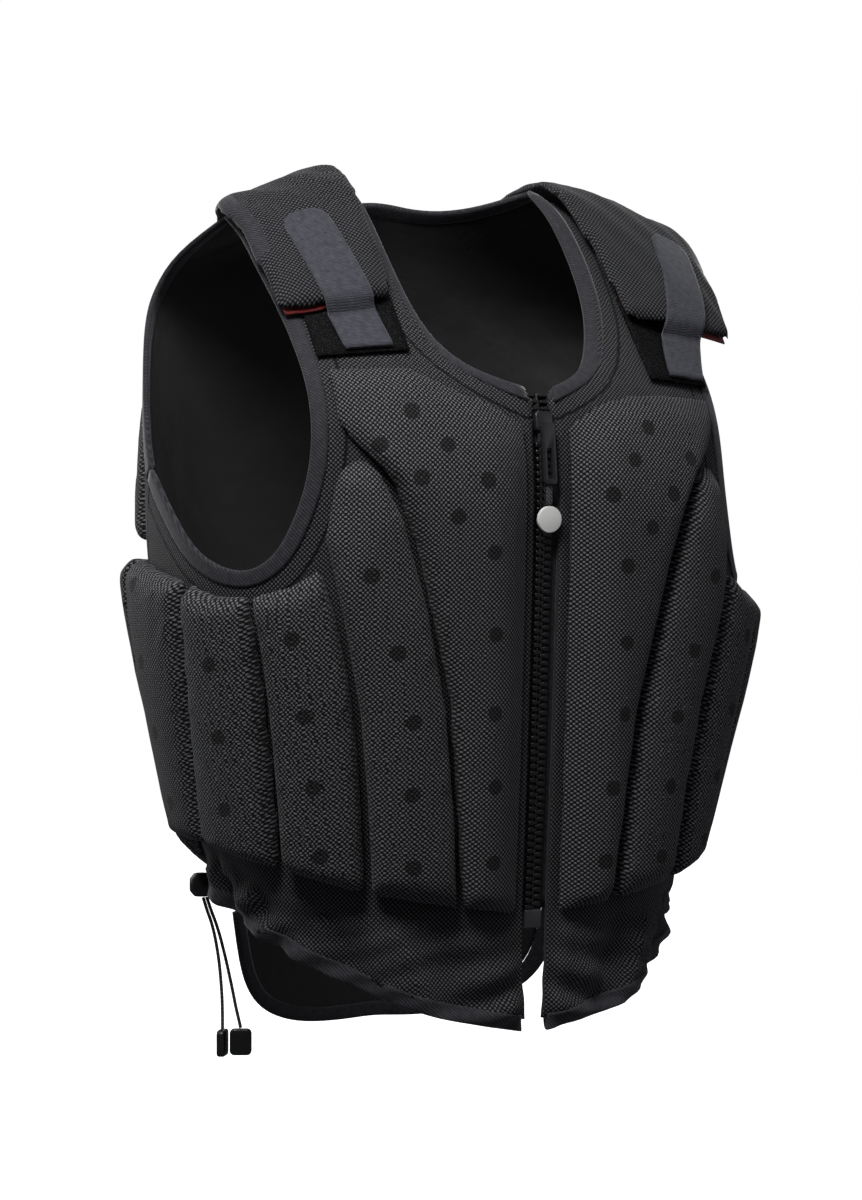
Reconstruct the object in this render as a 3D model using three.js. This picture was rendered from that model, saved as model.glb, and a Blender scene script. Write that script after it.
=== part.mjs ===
import * as THREE from "three";
import { mergeVertices } from "three/addons/utils/BufferGeometryUtils.js";

// Body protector for riding, in its worn form: a zipped front in two halves, a back with a longer tail,
// foam pads between sewn channels, and padded flaps that close over the shoulders.
// X runs to the wearer's left, -Y is the front, and Z = 0 is where the lining rests on the shoulders.

// Driving sizes, in millimetres
const frontLength = 511;
const clothLength = 560;
const chestWidth = 380;
const chestDepth = 262;
const shoulderMiddle = 110;
const shellWall = 3;
const seat = 1.2;
const gap = 0.5;
const padThickness = 18;
const padEdge = 9;
const channel = 4;
const bindingWidth = 10;
const bindingLip = 0.8;
const bindingRound = 2.5;
const foldDepth = 4.6;
const neckHollow = 9;
const zipLane = 18;
const padLane = 21;
const chainWidth = 9;
const chainThickness = 4.6;
const toothPitch = 6;
const toothRelief = 1.2;
const tapeWall = 1.2;
const tapeHem = 6;
const rowWidth = 3.4;
const flapThickness = 7;
const flapEdge = 5;
const facingWall = 1;
const facingPeep = 1.5;
const patchWall = 1.6;
const tabWidth = 28;
const tabWall = 1.5;
const sliderWidth = 12;
const sliderLength = 13;
const sliderHeight = 6;
const pullerLength = 37;
const pullerWidth = 9;
const pullerWall = 2.4;
const linkLength = 12;
const linkWidth = 4;
const linkWall = 1.4;
const discDiameter = 16;
const discWall = 2.6;
const boxWidth = 11;
const boxLength = 11;
const boxHeight = 5;
const lockDiameter = 15;
const lockLength = 15;
const cordDiameter = 2.2;
const cordEndLength = 17;
const cordEndWidth = 14;
const cordEndWall = 5;

// How far the shoulders fall for each millimetre outwards
const shoulderFall = 0.36;

const halfWidth = chestWidth / 2;
const halfDepth = chestDepth / 2;
const padFloor = shellWall + seat;
const patchFloor = shellWall + seat;
const facingFloor = patchFloor + patchWall + seat;
const flapFloor = facingFloor + facingWall + gap;
const flapTop = flapFloor + flapThickness;

// Level sections of the lining. along: the way up the cloth, from the front hem (0) to the shoulder
// ridge (1).
// height: share of the front length. half: share of half the chest width. front, back and shift: shares of
// half the chest depth. square: 2 is an ellipse, more is squarer. fall: how far the shoulder slope counts.
// drawn: share by which the left half is narrower than the right one, as worn.
const sectionRows = [
  { along: -0.107, height: -1.117, half: 0.753, front: 0.87, back: 0.794, square: 2.4, drawn: 0.055 },
  { along: 0, height: -1, half: 0.753, front: 0.875, back: 0.809, square: 2.4, drawn: 0.055 },
  { along: 0.113, height: -0.877, half: 0.774, front: 0.875, back: 0.824, square: 2.4, drawn: 0.055 },
  { along: 0.268, height: -0.706, half: 0.863, front: 0.925, back: 0.863, square: 2.4, drawn: 0.03 },
  { along: 0.411, height: -0.55, half: 0.953, front: 0.962, back: 0.908, square: 2.5 },
  { along: 0.518, height: -0.432, half: 0.995, front: 0.985, back: 0.954, square: 2.6 },
  { along: 0.607, height: -0.335, half: 1, front: 0.996, back: 0.985, square: 2.6 },
  { along: 0.679, height: -0.256, half: 0.995, front: 0.931, back: 1, square: 2.7, fall: 0.1 },
  { along: 0.75, height: -0.19, half: 0.989, front: 0.718, back: 1, square: 2.8, fall: 0.3 },
  { along: 0.821, height: -0.129, half: 0.979, front: 0.527, back: 0.954, shift: 0.023, square: 3, fall: 0.55 },
  { along: 0.893, height: -0.07, half: 0.968, front: 0.351, back: 0.84, shift: 0.061, square: 3.2, fall: 0.8 },
  { along: 0.95, height: -0.025, half: 0.958, front: 0.183, back: 0.58, shift: 0.092, square: 3.2, fall: 0.95 },
  { along: 1, height: 0, half: 0.953, front: 0, back: 0, shift: 0.115, square: 3.2, fall: 1 },
].map((row) => ({ shift: 0, fall: 0, drawn: 0, ...row }));

// Soft folds of the skirt below the pads. lean: degrees that a fold drifts over the whole cloth length.
// depth: share of the fold depth.
const foldRows = [
  { turn: 9, lean: 40, width: 5, depth: 0.5 },
  { turn: 23, lean: 70, width: 5, depth: 1 },
  { turn: 37, lean: 95, width: 5, depth: -0.8 },
  { turn: 50, lean: 110, width: 5, depth: 1 },
  { turn: 65, lean: 110, width: 6, depth: -0.7 },
  { turn: 82, lean: 80, width: 6, depth: 0.8 },
  { turn: 99, lean: 40, width: 6, depth: -0.6 },
];

// Seams and edges as points on the cloth: [degrees round from the front, way along the cloth].
// Front and back end a little short of the shoulder ridge, so that they don't touch.
const frontTop = 0.9995;
const backTop = 0.9998;
const frontHem = [[0, 0], [15, 0.013], [29, 0.03], [46, 0.062], [73, 0.109], [95, 0.136], [118, 0.157]];
const backHem = [[118, 0.157], [127, 0.138], [135, 0.119]];
const tailEdge = [[133.6, 0.108], [135.8, 0.04], [141, 0], [152, -0.024], [166, -0.031], [180, -0.028]];
const frontNeck = [[2.9, 0.691], [10.5, 0.709], [15.5, 0.745], [18.3, 0.79], [19.6, 0.85], [20.4, frontTop]];
const backNeck = [[159.6, backTop], [162, 0.966], [168.5, 0.943], [180, 0.929]];
const armFront = [[45.3, frontTop], [44.3, 0.9], [42.8, 0.8], [42.5, 0.7], [43.6, 0.605], [49, 0.525]];
const armUnder = [[57, 0.497], [67, 0.507], [77, 0.532], [89, 0.572], [101, 0.613]];
const armBack = [[108, 0.661], [114, 0.733], [120.5, 0.821]];
const armTop = [[127, 0.893], [135.5, backTop]];
const padHem = [[0, 0.13], [20, 0.141], [38, 0.157], [58, 0.184], [85, 0.204], [120, 0.206]];
const princessSeam = [[19.4, 0.141], [20, 0.32], [22.2, 0.43], [26.6, 0.545], [30.6, 0.6], [34.5, 0.622]];
const chestShoulder = [[37.6, 0.638], [39.1, 0.66], [39.3, 0.689]];
const chestNeck = [[10.5, 0.668], [15.2, 0.686]];
const flankSeam = [[38.6, 0.158], [37.4, 0.33], [38.2, 0.43], [41.3, 0.507]];
const ribShoulder = [[40.8, 0.545], [38.6, 0.605]];
const sideFrontSeam = [[58.2, 0.184], [56.2, 0.3], [54.8, 0.404], [55.6, 0.476]];
const wingSeam = [[85.3, 0.204], [81.4, 0.295], [76, 0.404], [73.9, 0.489]];
const spineSeam = [[161, 0.115], [161, 0.52], [160.5, 0.7], [160, 0.865]];
const backWaist = 0.52;

// Number between the middle two of four, on a smooth curve through them.
function blend(before, from, to, after, t) {
  const slope = to - before;
  const bend = 2 * before - 5 * from + 4 * to - after;
  const twist = 3 * from - before - 3 * to + after;
  return 0.5 * (2 * from + slope * t + bend * t * t + twist * t * t * t);
}

function smooth(edge0, edge1, value) {
  const t = THREE.MathUtils.clamp((value - edge0) / (edge1 - edge0), 0, 1);
  return t * t * (3 - 2 * t);
}

function sectionAt(along) {
  const last = sectionRows.length - 1;
  let i = 0;
  while (i < last - 1 && along > sectionRows[i + 1].along) i += 1;
  const t = (along - sectionRows[i].along) / (sectionRows[i + 1].along - sectionRows[i].along);
  const below = sectionRows[last - 1];
  const beyond = { ...below, front: -below.front, back: -below.back };
  const row = (k) => (k > last ? beyond : sectionRows[Math.max(k, 0)]);
  const section = {};
  for (const name of Object.keys(below)) {
    section[name] = blend(row(i - 1)[name], row(i)[name], row(i + 1)[name], row(i + 2)[name], t);
  }
  return section;
}

// Way along the cloth at which a run of points crosses a turn.
function alongAt(points, turn) {
  const found = points.findIndex((point) => point[0] >= turn);
  const i = found < 1 ? points.length - 1 : found;
  const [from, to] = [points[i - 1], points[i]];
  return THREE.MathUtils.mapLinear(turn, from[0], to[0], from[1], to[1]);
}

function foldAt(turn, along) {
  const round = Math.abs(turn);
  if (round > frontHem.at(-1)[0]) return 0;
  const below = smooth(-0.01, -0.05, along - alongAt(padHem, round));
  const shape = foldRows.reduce((sum, fold) => {
    const away = (round - fold.turn - fold.lean * along) / fold.width;
    return sum + fold.depth * Math.exp(-away * away);
  }, 0);
  return foldDepth * below * shape * smooth(1, 8, round);
}

// Point of the smooth body under the garment.
function bodyPoint(turn, along) {
  const s = sectionAt(along);
  const angle = THREE.MathUtils.degToRad(turn);
  const sine = Math.abs(Math.sin(angle));
  const cosine = Math.abs(Math.cos(angle));
  const reach = (sine ** s.square + cosine ** s.square) ** (1 / s.square);
  const depth = Math.cos(angle) > 0 ? -s.front : s.back;
  const half = halfWidth * s.half * (Math.sin(angle) > 0 ? 1 - s.drawn : 1);
  const x = Math.sign(Math.sin(angle)) * half * sine / reach;
  const y = halfDepth * (s.shift + depth * cosine / reach);
  const z = frontLength * s.height - shoulderFall * (Math.abs(x) - shoulderMiddle) * s.fall;
  return new THREE.Vector3(x, y, z);
}

// Point of the garment at a lift over the body, with the skirt's folds and the hollow below the throat.
function skin(turn, along, lift = 0) {
  const point = bodyPoint(turn, along);
  const across = bodyPoint(turn + 0.5, along).sub(bodyPoint(turn - 0.5, along));
  const up = bodyPoint(turn, along + 0.002).sub(bodyPoint(turn, along - 0.002));
  const normal = across.cross(up).normalize();
  const inFront = Math.cos(THREE.MathUtils.degToRad(turn)) > 0;
  const nearThroat = inFront ? smooth(0.4, 0.24, Math.abs(point.x) / halfWidth) : 0;
  const hollow = neckHollow * nearThroat * smooth(0.68, 0.75, along) * smooth(1, 0.9, along);
  return point.addScaledVector(normal, lift + foldAt(turn, along) - hollow);
}

// A point of the cloth, moved over it by so many millimetres round the body and up it.
function moved([turn, along], round, up) {
  const perTurn = skin(turn + 0.5, along).distanceTo(skin(turn - 0.5, along));
  const perAlong = skin(turn, along + 0.002).distanceTo(skin(turn, along - 0.002)) / 0.004;
  return [turn + round / perTurn, along + up / perAlong];
}

// Turn at which the section at this height reaches a distance from the middle line.
function turnAt(x, along) {
  const s = sectionAt(along);
  const share = Math.min(0.99, x / (halfWidth * s.half)) ** s.square;
  return THREE.MathUtils.radToDeg(Math.atan((share / (1 - share)) ** (1 / s.square)));
}

function between(from, to, t) {
  return [THREE.MathUtils.lerp(from[0], to[0], t), THREE.MathUtils.lerp(from[1], to[1], t)];
}

function straight(from, to, steps) {
  return Array.from({ length: steps + 1 }, (_, i) => between(from, to, i / steps));
}

// Smooth curve through points of the cloth, drawn flat so that both ways are in millimetres.
const perTurn = chestWidth / 120;

function flatCurve(points) {
  const flat = points.map(([turn, along]) => new THREE.Vector3(turn * perTurn, along * clothLength, 0));
  return new THREE.CatmullRomCurve3(flat, false, "centripetal");
}

function clothPoint(flat) {
  return [flat.x / perTurn, flat.y / clothLength];
}

// Points of the cloth along a smooth run: in equal steps, or with so many steps from each point to the next.
function run(points, steps) {
  return flatCurve(points).getSpacedPoints(steps).map(clothPoint);
}

function stations(points, perSpan) {
  return flatCurve(points).getPoints((points.length - 1) * perSpan).map(clothPoint);
}

// A run moved sideways over the cloth, to the left of its own direction.
function beside(points, distance) {
  return points.map((point, i) => {
    const before = points[Math.max(i - 1, 0)];
    const after = points[Math.min(i + 1, points.length - 1)];
    const round = (after[0] - before[0]) * perTurn;
    const up = (after[1] - before[1]) * clothLength;
    const length = Math.hypot(round, up);
    return moved(point, -up / length * distance, round / length * distance);
  });
}

// The same run begun at the zip: its first point slides along its own line to the edge of the zip's lane.
function fromLane(points) {
  const [first, second] = points;
  const turn = turnAt(zipLane / 2, first[1]);
  const slope = (second[1] - first[1]) / (second[0] - first[0]);
  return [[turn, first[1] + slope * (turn - first[0])], ...points.slice(1)];
}

// The same run on the other half of the back, from its far end to its near one.
function mirrored(points) {
  return points.map(([turn, along]) => [360 - turn, along]).reverse();
}

// Rows of points of the cloth that fill the space between four runs.
function coons(bottom, top, left, right) {
  const columns = bottom.length - 1;
  const rows = left.length - 1;
  return left.map((_, j) => bottom.map((__, i) => {
    const u = i / columns;
    const v = j / rows;
    return [0, 1].map((k) => {
      const upright = (1 - v) * bottom[i][k] + v * top[i][k];
      const level = (1 - u) * left[j][k] + u * right[j][k];
      const low = (1 - u) * bottom[0][k] + u * bottom[columns][k];
      const high = (1 - u) * top[0][k] + u * top[columns][k];
      return upright + level - (1 - v) * low - v * high;
    });
  }));
}

// Geometry of triangles whose corners are listed three by three, with its faces turned outwards.
function closed(corners) {
  let volume = 0;
  for (let i = 0; i < corners.length; i += 3) {
    volume += corners[i].dot(corners[i + 1].clone().cross(corners[i + 2]));
  }
  if (volume < 0) corners.reverse();
  const geometry = mergeVertices(new THREE.BufferGeometry().setFromPoints(corners), 1e-4);
  geometry.computeVertexNormals();
  return geometry;
}

// Closed solid between an outer and an inner sheet of points, [row][column], where hasCell keeps a cell.
function solidBetween(outer, inner, hasCell = () => true) {
  const corners = [];
  const quad = (a, b, c, d) => corners.push(a, b, c, a, c, d);
  const rows = outer.length - 1;
  const columns = outer[0].length - 1;
  const kept = (j, i) => j >= 0 && i >= 0 && j < rows && i < columns && hasCell(j, i);
  for (let j = 0; j < rows; j += 1) {
    for (let i = 0; i < columns; i += 1) {
      if (!kept(j, i)) continue;
      const [a, b, c, d] = [outer[j][i], outer[j][i + 1], outer[j + 1][i + 1], outer[j + 1][i]];
      const [e, f, g, h] = [inner[j][i], inner[j][i + 1], inner[j + 1][i + 1], inner[j + 1][i]];
      quad(a, b, c, d);
      quad(h, g, f, e);
      if (!kept(j - 1, i)) quad(e, f, b, a);
      if (!kept(j, i + 1)) quad(f, g, c, b);
      if (!kept(j + 1, i)) quad(g, h, d, c);
      if (!kept(j, i - 1)) quad(h, e, a, d);
    }
  }
  return closed(corners);
}

// Solid whose section changes from ring to ring, with a flat cap at each end.
function solidThrough(rings) {
  const corners = [];
  const count = rings[0].length;
  for (let j = 0; j < rings.length - 1; j += 1) {
    for (let i = 0; i < count; i += 1) {
      const [a, b] = [rings[j][i], rings[j][(i + 1) % count]];
      const [d, c] = [rings[j + 1][i], rings[j + 1][(i + 1) % count]];
      corners.push(a, b, c, a, c, d);
    }
  }
  const [first, last] = [rings[0], rings.at(-1)];
  for (let i = 1; i < count - 1; i += 1) {
    corners.push(first[0], first[i + 1], first[i]);
    corners.push(last[0], last[i], last[i + 1]);
  }
  return closed(corners);
}

// Sheet of garment points at a lift from rows of cloth points, on one side of the body.
function sheetAt(cloth, side, lift) {
  return cloth.map((row) => row.map(([turn, along]) => skin(side * turn, along, lift)));
}

const looks = {
  mesh: { color: 0x2b2b2e, roughness: 0.9, metalness: 0 },
  channelCloth: { color: 0x1d1d20, roughness: 0.95, metalness: 0 },
  binding: { color: 0x303038, roughness: 0.85, metalness: 0 },
  webbing: { color: 0x55565e, roughness: 0.8, metalness: 0 },
  facing: { color: 0x8c1a1f, roughness: 0.8, metalness: 0 },
  moulded: { color: 0x18181a, roughness: 0.35, metalness: 0 },
  disc: { color: 0xf0f0ee, roughness: 0.4, metalness: 0 },
  cord: { color: 0x3a3a3e, roughness: 0.9, metalness: 0 },
};
const root = new THREE.Group();

function add(name, geometry, look) {
  const mesh = new THREE.Mesh(geometry, new THREE.MeshStandardMaterial(looks[look]));
  mesh.name = name;
  root.add(mesh);
  return mesh;
}

// Each side by its name and its sign along X
const sides = [["right", -1], ["left", 1]];

// Edges of the garment, and the shells' own edges inside their bindings
const yokeColumns = 6;
const hemEdge = fromLane(run(frontHem, yokeColumns + 2 * armUnder.length));
const backHemEdge = run(backHem, 4);
const neckEdge = fromLane(run(frontNeck, 7));
const armEdge = stations([...armFront, ...armUnder, ...armBack, ...armTop], 2);
const armCorner = 2 * (armFront.length - 1);
const armSide = armCorner + 2 * armUnder.length;
const armYoke = armSide + 2 * armBack.length;
const ridgeColumns = 2;
const backNeckEdge = run(backNeck, yokeColumns - ridgeColumns);
const tailHalf = run(tailEdge, 8);
const tailLine = [...tailHalf, ...mirrored(tailHalf).slice(1)];

// The back's runs begin a little past the side seam.
function pastSeam(points) {
  return [[points[0][0] + 2 * gap / perTurn, points[0][1]], ...points.slice(1)];
}

const shellIn = bindingWidth + gap;
const hemShell = fromLane(beside(hemEdge, shellIn));
const backHemShell = beside(backHemEdge, shellIn);
const neckShell = fromLane(beside(neckEdge, -shellIn));
const armShell = beside(armEdge, -shellIn);
const backNeckShell = beside(backNeckEdge, -shellIn);
const tailShell = beside(tailLine, shellIn);

// Front shells: one grid below the yoke from zip to side seam, carried on above it to the shoulder ridge
const lowerRows = 8;
const yokeAlong = 0.54;

function centreLine(from, to, steps) {
  return straight([0, from], [0, to], steps).map(([, along]) => [turnAt(zipLane / 2, along), along]);
}

function frontShellCloth() {
  const yoke = [turnAt(zipLane / 2, yokeAlong), yokeAlong];
  const underarm = armShell.slice(armCorner, armSide + 1);
  const yokeLine = straight(yoke, underarm[0], yokeColumns);
  const top = [...yokeLine.slice(0, -1), ...underarm];
  const seam = straight(hemShell.at(-1), top.at(-1), lowerRows);
  const lower = coons(hemShell, top, centreLine(hemShell[0][1], yokeAlong, lowerRows), seam);
  const centreSteps = armCorner - (neckShell.length - 1);
  const centre = centreLine(yokeAlong, neckShell[0][1], centreSteps);
  const inner = [...centre.slice(0, -1), ...neckShell];
  const outer = armShell.slice(0, armCorner + 1).reverse();
  const ridge = straight(inner.at(-1), outer.at(-1), yokeColumns);
  const upper = coons(yokeLine, ridge, inner, outer);
  const unused = underarm.slice(1);
  return [...lower, ...upper.slice(1).map((row) => [...row, ...unused])];
}

const frontCloth = frontShellCloth();
for (const [name, side] of sides) {
  const hasCell = (j, i) => j < lowerRows || i < yokeColumns;
  const shell = solidBetween(sheetAt(frontCloth, side, shellWall), sheetAt(frontCloth, side, 0), hasCell);
  add(`shell_front_${name}`, shell, "channelCloth");
}

// Back shell: its rows run from one side seam over the spine to the other, and its straps reach the ridge
const backYokeAlong = 0.8;
const tailTop = 0.125;

function backShellCloth() {
  const under = armShell.slice(armSide, armYoke + 1);
  const yokeLine = straight(under.at(-1), [180, backYokeAlong], yokeColumns);
  const top = [...under, ...yokeLine.slice(1)];
  const overTailSteps = top.length - 1 - backHemShell.length;
  const overTail = straight([backHemShell.at(-1)[0] + 4, tailTop], [180, tailTop], overTailSteps);
  const bottom = [...backHemShell, ...overTail];
  const seam = straight(bottom[0], top[0], lowerRows);
  const spine = straight(bottom.at(-1), top.at(-1), lowerRows);
  const lower = coons(bottom, top, seam, spine);
  for (const row of lower) row[0] = pastSeam(row)[0];
  const left = armShell.slice(armYoke);
  const ridge = straight(left.at(-1), backNeckShell[0], ridgeColumns);
  const crown = [...ridge.slice(0, -1), ...backNeckShell];
  const right = straight([180, backYokeAlong], backNeckShell.at(-1), left.length - 1);
  const upper = coons(yokeLine, crown, left, right);
  const unused = under.slice(0, -1);
  const half = [...lower, ...upper.slice(1).map((row) => [...unused, ...row])];
  return half.map((row) => [...row, ...mirrored(row).slice(1)]);
}

const backCloth = backShellCloth();
const backSideColumns = armYoke - armSide;
const hasBackCell = (j, i) => {
  const fromSeam = Math.min(i, backCloth[0].length - 2 - i);
  return j < lowerRows || fromSeam >= backSideColumns;
};
const backShell = solidBetween(sheetAt(backCloth, 1, shellWall), sheetAt(backCloth, 1, 0), hasBackCell);
add("shell_back", backShell, "channelCloth");

// Tail: the longer part of the back below the waist
function tailCloth() {
  const cornerStep = 4;
  const left = tailShell.slice(0, cornerStep + 1).reverse();
  const right = tailShell.slice(-cornerStep - 1);
  const bottom = tailShell.slice(cornerStep, -cornerStep);
  const low = tailTop - 2 * gap / clothLength;
  left[cornerStep][1] = low;
  right[cornerStep][1] = low;
  return coons(bottom, straight(left.at(-1), right.at(-1), bottom.length - 1), left, right);
}

const tail = tailCloth();
add("shell_tail", solidBetween(sheetAt(tail, 1, shellWall), sheetAt(tail, 1, 0)), "channelCloth");

// Bindings: knitted tape folded round an edge. Its section is flat on both faces and rounded at the rim.
// towards: 1 where the cloth lies to the left of the edge's direction, -1 where it lies to the right.
function binding(edge, side, towards, begin = (points) => points) {
  const seam = begin(beside(edge, towards * bindingWidth));
  const shoulder = begin(beside(edge, towards * bindingRound));
  const low = -bindingLip;
  const high = shellWall + bindingLip;
  const point = (cloth, i, lift) => skin(side * cloth[i][0], cloth[i][1], lift);
  return solidThrough(edge.map((_, i) => [
    point(seam, i, low),
    point(shoulder, i, low),
    point(edge, i, low + bindingLip),
    point(edge, i, high - bindingLip),
    point(shoulder, i, high),
    point(seam, i, high),
  ]));
}

for (const [name, side] of sides) {
  add(`hem_binding_front_${name}`, binding(hemEdge, side, 1, fromLane), "binding");
  add(`hem_binding_back_${name}`, binding(pastSeam(backHemEdge), side, 1), "binding");
  add(`neck_binding_front_${name}`, binding(neckEdge, side, -1, fromLane), "binding");
  add(`armhole_binding_front_${name}`, binding(armEdge.slice(0, armSide + 1), side, -1), "binding");
  add(`armhole_binding_back_${name}`, binding(pastSeam(armEdge.slice(armSide)), side, -1), "binding");
}
add("neck_binding_back", binding([...backNeckEdge, ...mirrored(backNeckEdge).slice(1)], 1, -1), "binding");
add("tail_binding", binding(tailLine, 1, 1), "binding");

// Shoulder flaps: they come up from the back, cross the ridge and close down on the chest. As worn, the
// left one is drawn farther down and out. Straps: behind is where a flap starts at the back, end its free
// edge on the front, and the ways in and out are shares of half the width. The patch below it and the tab
// over both are given in the same shares.
const straps = {
  right: {
    behind: 0.94, ridgeIn: 0.36, ridgeOut: 0.8, end: 0.795, endIn: 0.4, endOut: 0.755,
    patchLow: 0.731, patchHigh: 0.83, patchIn: 0.4, patchOut: 0.685,
    tabLow: 0.735, tabHigh: 0.925, tabLowCentre: 0.525, tabHighCentre: 0.59,
  },
  left: {
    behind: 0.94, ridgeIn: 0.36, ridgeOut: 0.9, end: 0.783, endIn: 0.43, endOut: 0.84,
    patchLow: 0.708, patchHigh: 0.82, patchIn: 0.45, patchOut: 0.695,
    tabLow: 0.712, tabHigh: 0.925, tabLowCentre: 0.6, tabHighCentre: 0.7,
  },
};

// Pads: foam blocks under the outer mesh, drawn down to their seams. Steps are shares across and up a pad.
const padAcross = [0, 0.08, 0.35, 0.65, 0.92, 1];
const padUp = [0, 0.04, 0.2, 0.42, 0.64, 0.84, 0.95, 1];
const padRim = 0.5;

// Share of the full thickness: the foam thins towards the neck and the shoulders, in front and at the back.
const foamThinning = 0.6;

function foamShare(turn, along) {
  const [from, to] = Math.abs(turn) < 90 ? [0.56, 0.7] : [0.8, 0.9];
  return 1 - foamThinning * smooth(from, to, along);
}

function cushion(place, side, form) {
  const at = (s, t, lift) => {
    const [turn, along] = place(s, t);
    return skin(side * turn, along, lift);
  };
  const sheet = (lifted) => form.up.map((t) => {
    const width = at(0, t, 0).distanceTo(at(1, t, 0));
    return form.across.map((s) => {
      const height = at(s, 0, 0).distanceTo(at(s, 1, 0));
      const [fromSide, fromEnd] = [form.inset / width, form.inset / height];
      const reach = (share, length) => Math.min(1, Math.min(share, 1 - share) * length / form.edge);
      const rounded = (share, length) => Math.sqrt(1 - (1 - reach(share, length)) ** 2);
      const crown = padRim + (1 - padRim) * rounded(s, width) * rounded(t, height);
      const lift = form.floor + (lifted ? form.thickness * crown * form.share(...place(s, t)) : 0);
      return at(fromSide + s * (1 - 2 * fromSide), fromEnd + t * (1 - 2 * fromEnd), lift);
    });
  });
  return solidBetween(sheet(true), sheet(false));
}

const padForm = {
  across: padAcross, up: padUp, inset: channel / 2, edge: padEdge, floor: padFloor, thickness: padThickness,
  share: foamShare,
};

// Place on the cloth inside four runs, each drawn from its low or inner end.
function patch(inner, outer, top = [inner.at(-1), outer.at(-1)]) {
  const [innerCurve, outerCurve, topCurve] = [inner, outer, top].map(flatCurve);
  return (s, t) => {
    const low = between(inner[0], outer[0], s);
    const high = clothPoint(topCurve.getPointAt(s));
    const left = clothPoint(innerCurve.getPointAt(t));
    const right = clothPoint(outerCurve.getPointAt(t));
    return [0, 1].map((k) => {
      const upright = (1 - t) * low[k] + t * high[k];
      const level = (1 - s) * left[k] + s * right[k];
      const ends = (1 - t) * ((1 - s) * inner[0][k] + s * outer[0][k]);
      const tops = t * ((1 - s) * inner.at(-1)[k] + s * outer.at(-1)[k]);
      return upright + level - ends - tops;
    });
  };
}

// Turn of the side seam between front and back at a way along the cloth
function sideSeamTurn(along) {
  const [low, high] = [hemShell.at(-1), armShell[armSide]];
  return THREE.MathUtils.mapLinear(along, low[1], high[1], low[0], high[0]);
}

function sideSeam(from, to) {
  return straight([0, from], [0, to], 3).map(([, along]) => [sideSeamTurn(along), along]);
}

const chestInner = [0.13, 0.3, 0.45, 0.655].map((along) => [turnAt(padLane / 2 - channel / 2, along), along]);

// The chest pad follows the neckline, and ends just under the hook patch
function chestPlace(patchLow) {
  const top = patchLow - 2 * channel / clothLength;
  const topEdge = [chestInner.at(-1), ...chestNeck, [20, top - 0.004], [28, top], [38.9, top]];
  return patch(chestInner, [...princessSeam, ...chestShoulder, topEdge.at(-1)], topEdge);
}

const wingOuter = sideSeam(0.206, 0.519);
const backSideOuter = [[140, 0.14], [137, 0.3], [135, 0.519]];
const bladeOuter = [[125, 0.53], [127, 0.62], [131, 0.715], [136, 0.81], [141, 0.88]];
const spineLow = spineSeam.slice(0, 2);
const spineHigh = [[161, backWaist + 0.01], ...spineSeam.slice(2)];

const padPlaces = [
  ["pad_rib", patch(princessSeam, [...flankSeam, ...ribShoulder])],
  ["pad_flank", patch(flankSeam, sideFrontSeam, [flankSeam.at(-1), [47, 0.485], sideFrontSeam.at(-1)])],
  ["pad_side", patch(sideFrontSeam, wingSeam, [sideFrontSeam.at(-1), [64, 0.475], wingSeam.at(-1)])],
  ["pad_wing", patch(wingSeam, wingOuter)],
  ["pad_back_side", patch(wingOuter, backSideOuter)],
  ["pad_back_waist", patch([[140, 0.14], [137, 0.3], [135, backWaist]], spineLow)],
  ["pad_blade", patch(bladeOuter, spineHigh)],
];
const chestForm = { ...padForm, up: [0, 0.025, 0.36, 0.64, 0.76, 0.83, 0.89, 0.95, 1] };
for (const [name, side] of sides) {
  add(`pad_chest_${name}`, cushion(chestPlace(straps[name].patchLow), side, chestForm), "mesh");
  for (const [padName, place] of padPlaces) add(`${padName}_${name}`, cushion(place, side, padForm), "mesh");
}
const spineFar = spineSeam.map(([turn, along]) => [360 - turn, along]);
add("pad_spine", cushion(patch(spineSeam, spineFar), 1, padForm), "mesh");
const tailPadEdge = [[149, 0.005], [146.5, 0.04], [144, 0.115]];
const tailPadFar = tailPadEdge.map(([turn, along]) => [360 - turn, along]);
const tailAcross = [0, 0.08, 0.22, 0.36, 0.5, 0.64, 0.78, 0.92, 1];
const tailForm = { ...padForm, across: tailAcross, up: [0, 0.15, 0.5, 0.85, 1] };
add("pad_tail", cushion(patch(tailPadEdge, tailPadFar), 1, tailForm), "mesh");

// Places on the cloth given by the distance from the middle line, in millimetres
function acrossAt(inner, outer, low, high) {
  return (s, t) => {
    const along = THREE.MathUtils.lerp(low, high, t);
    return [turnAt(THREE.MathUtils.lerp(inner, outer, s), along), along];
  };
}

// Thin sheet of even thickness on such a place
function flatSheet(place, side, form) {
  const cloth = form.up.map((t) => form.across.map((s) => place(s, t)));
  return solidBetween(sheetAt(cloth, side, form.floor + form.wall), sheetAt(cloth, side, form.floor));
}

// Shoulder flaps, facings, patches and tabs
const peepAlong = facingPeep / clothLength;
const tabOnPatch = patchFloor + patchWall + seat;
const tabOnFlap = flapTop + gap;
const flapForm = {
  across: [0, 0.06, 0.3, 0.5, 0.7, 0.94, 1],
  up: [0, 0.02, 0.07, 0.18, 0.3, 0.42, 0.54, 0.65, 0.75, 0.85, 0.94, 1],
  inset: 0,
  edge: flapEdge,
  floor: flapFloor,
  thickness: flapThickness,
  share: () => 1,
};
const flatSteps = { across: [0, 0.33, 0.67, 1], up: [0, 0.33, 0.67, 1] };
const facingForm = { ...flatSteps, floor: facingFloor, wall: facingWall };
const patchForm = { ...flatSteps, floor: patchFloor, wall: patchWall };
const facingLength = 0.065;

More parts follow.
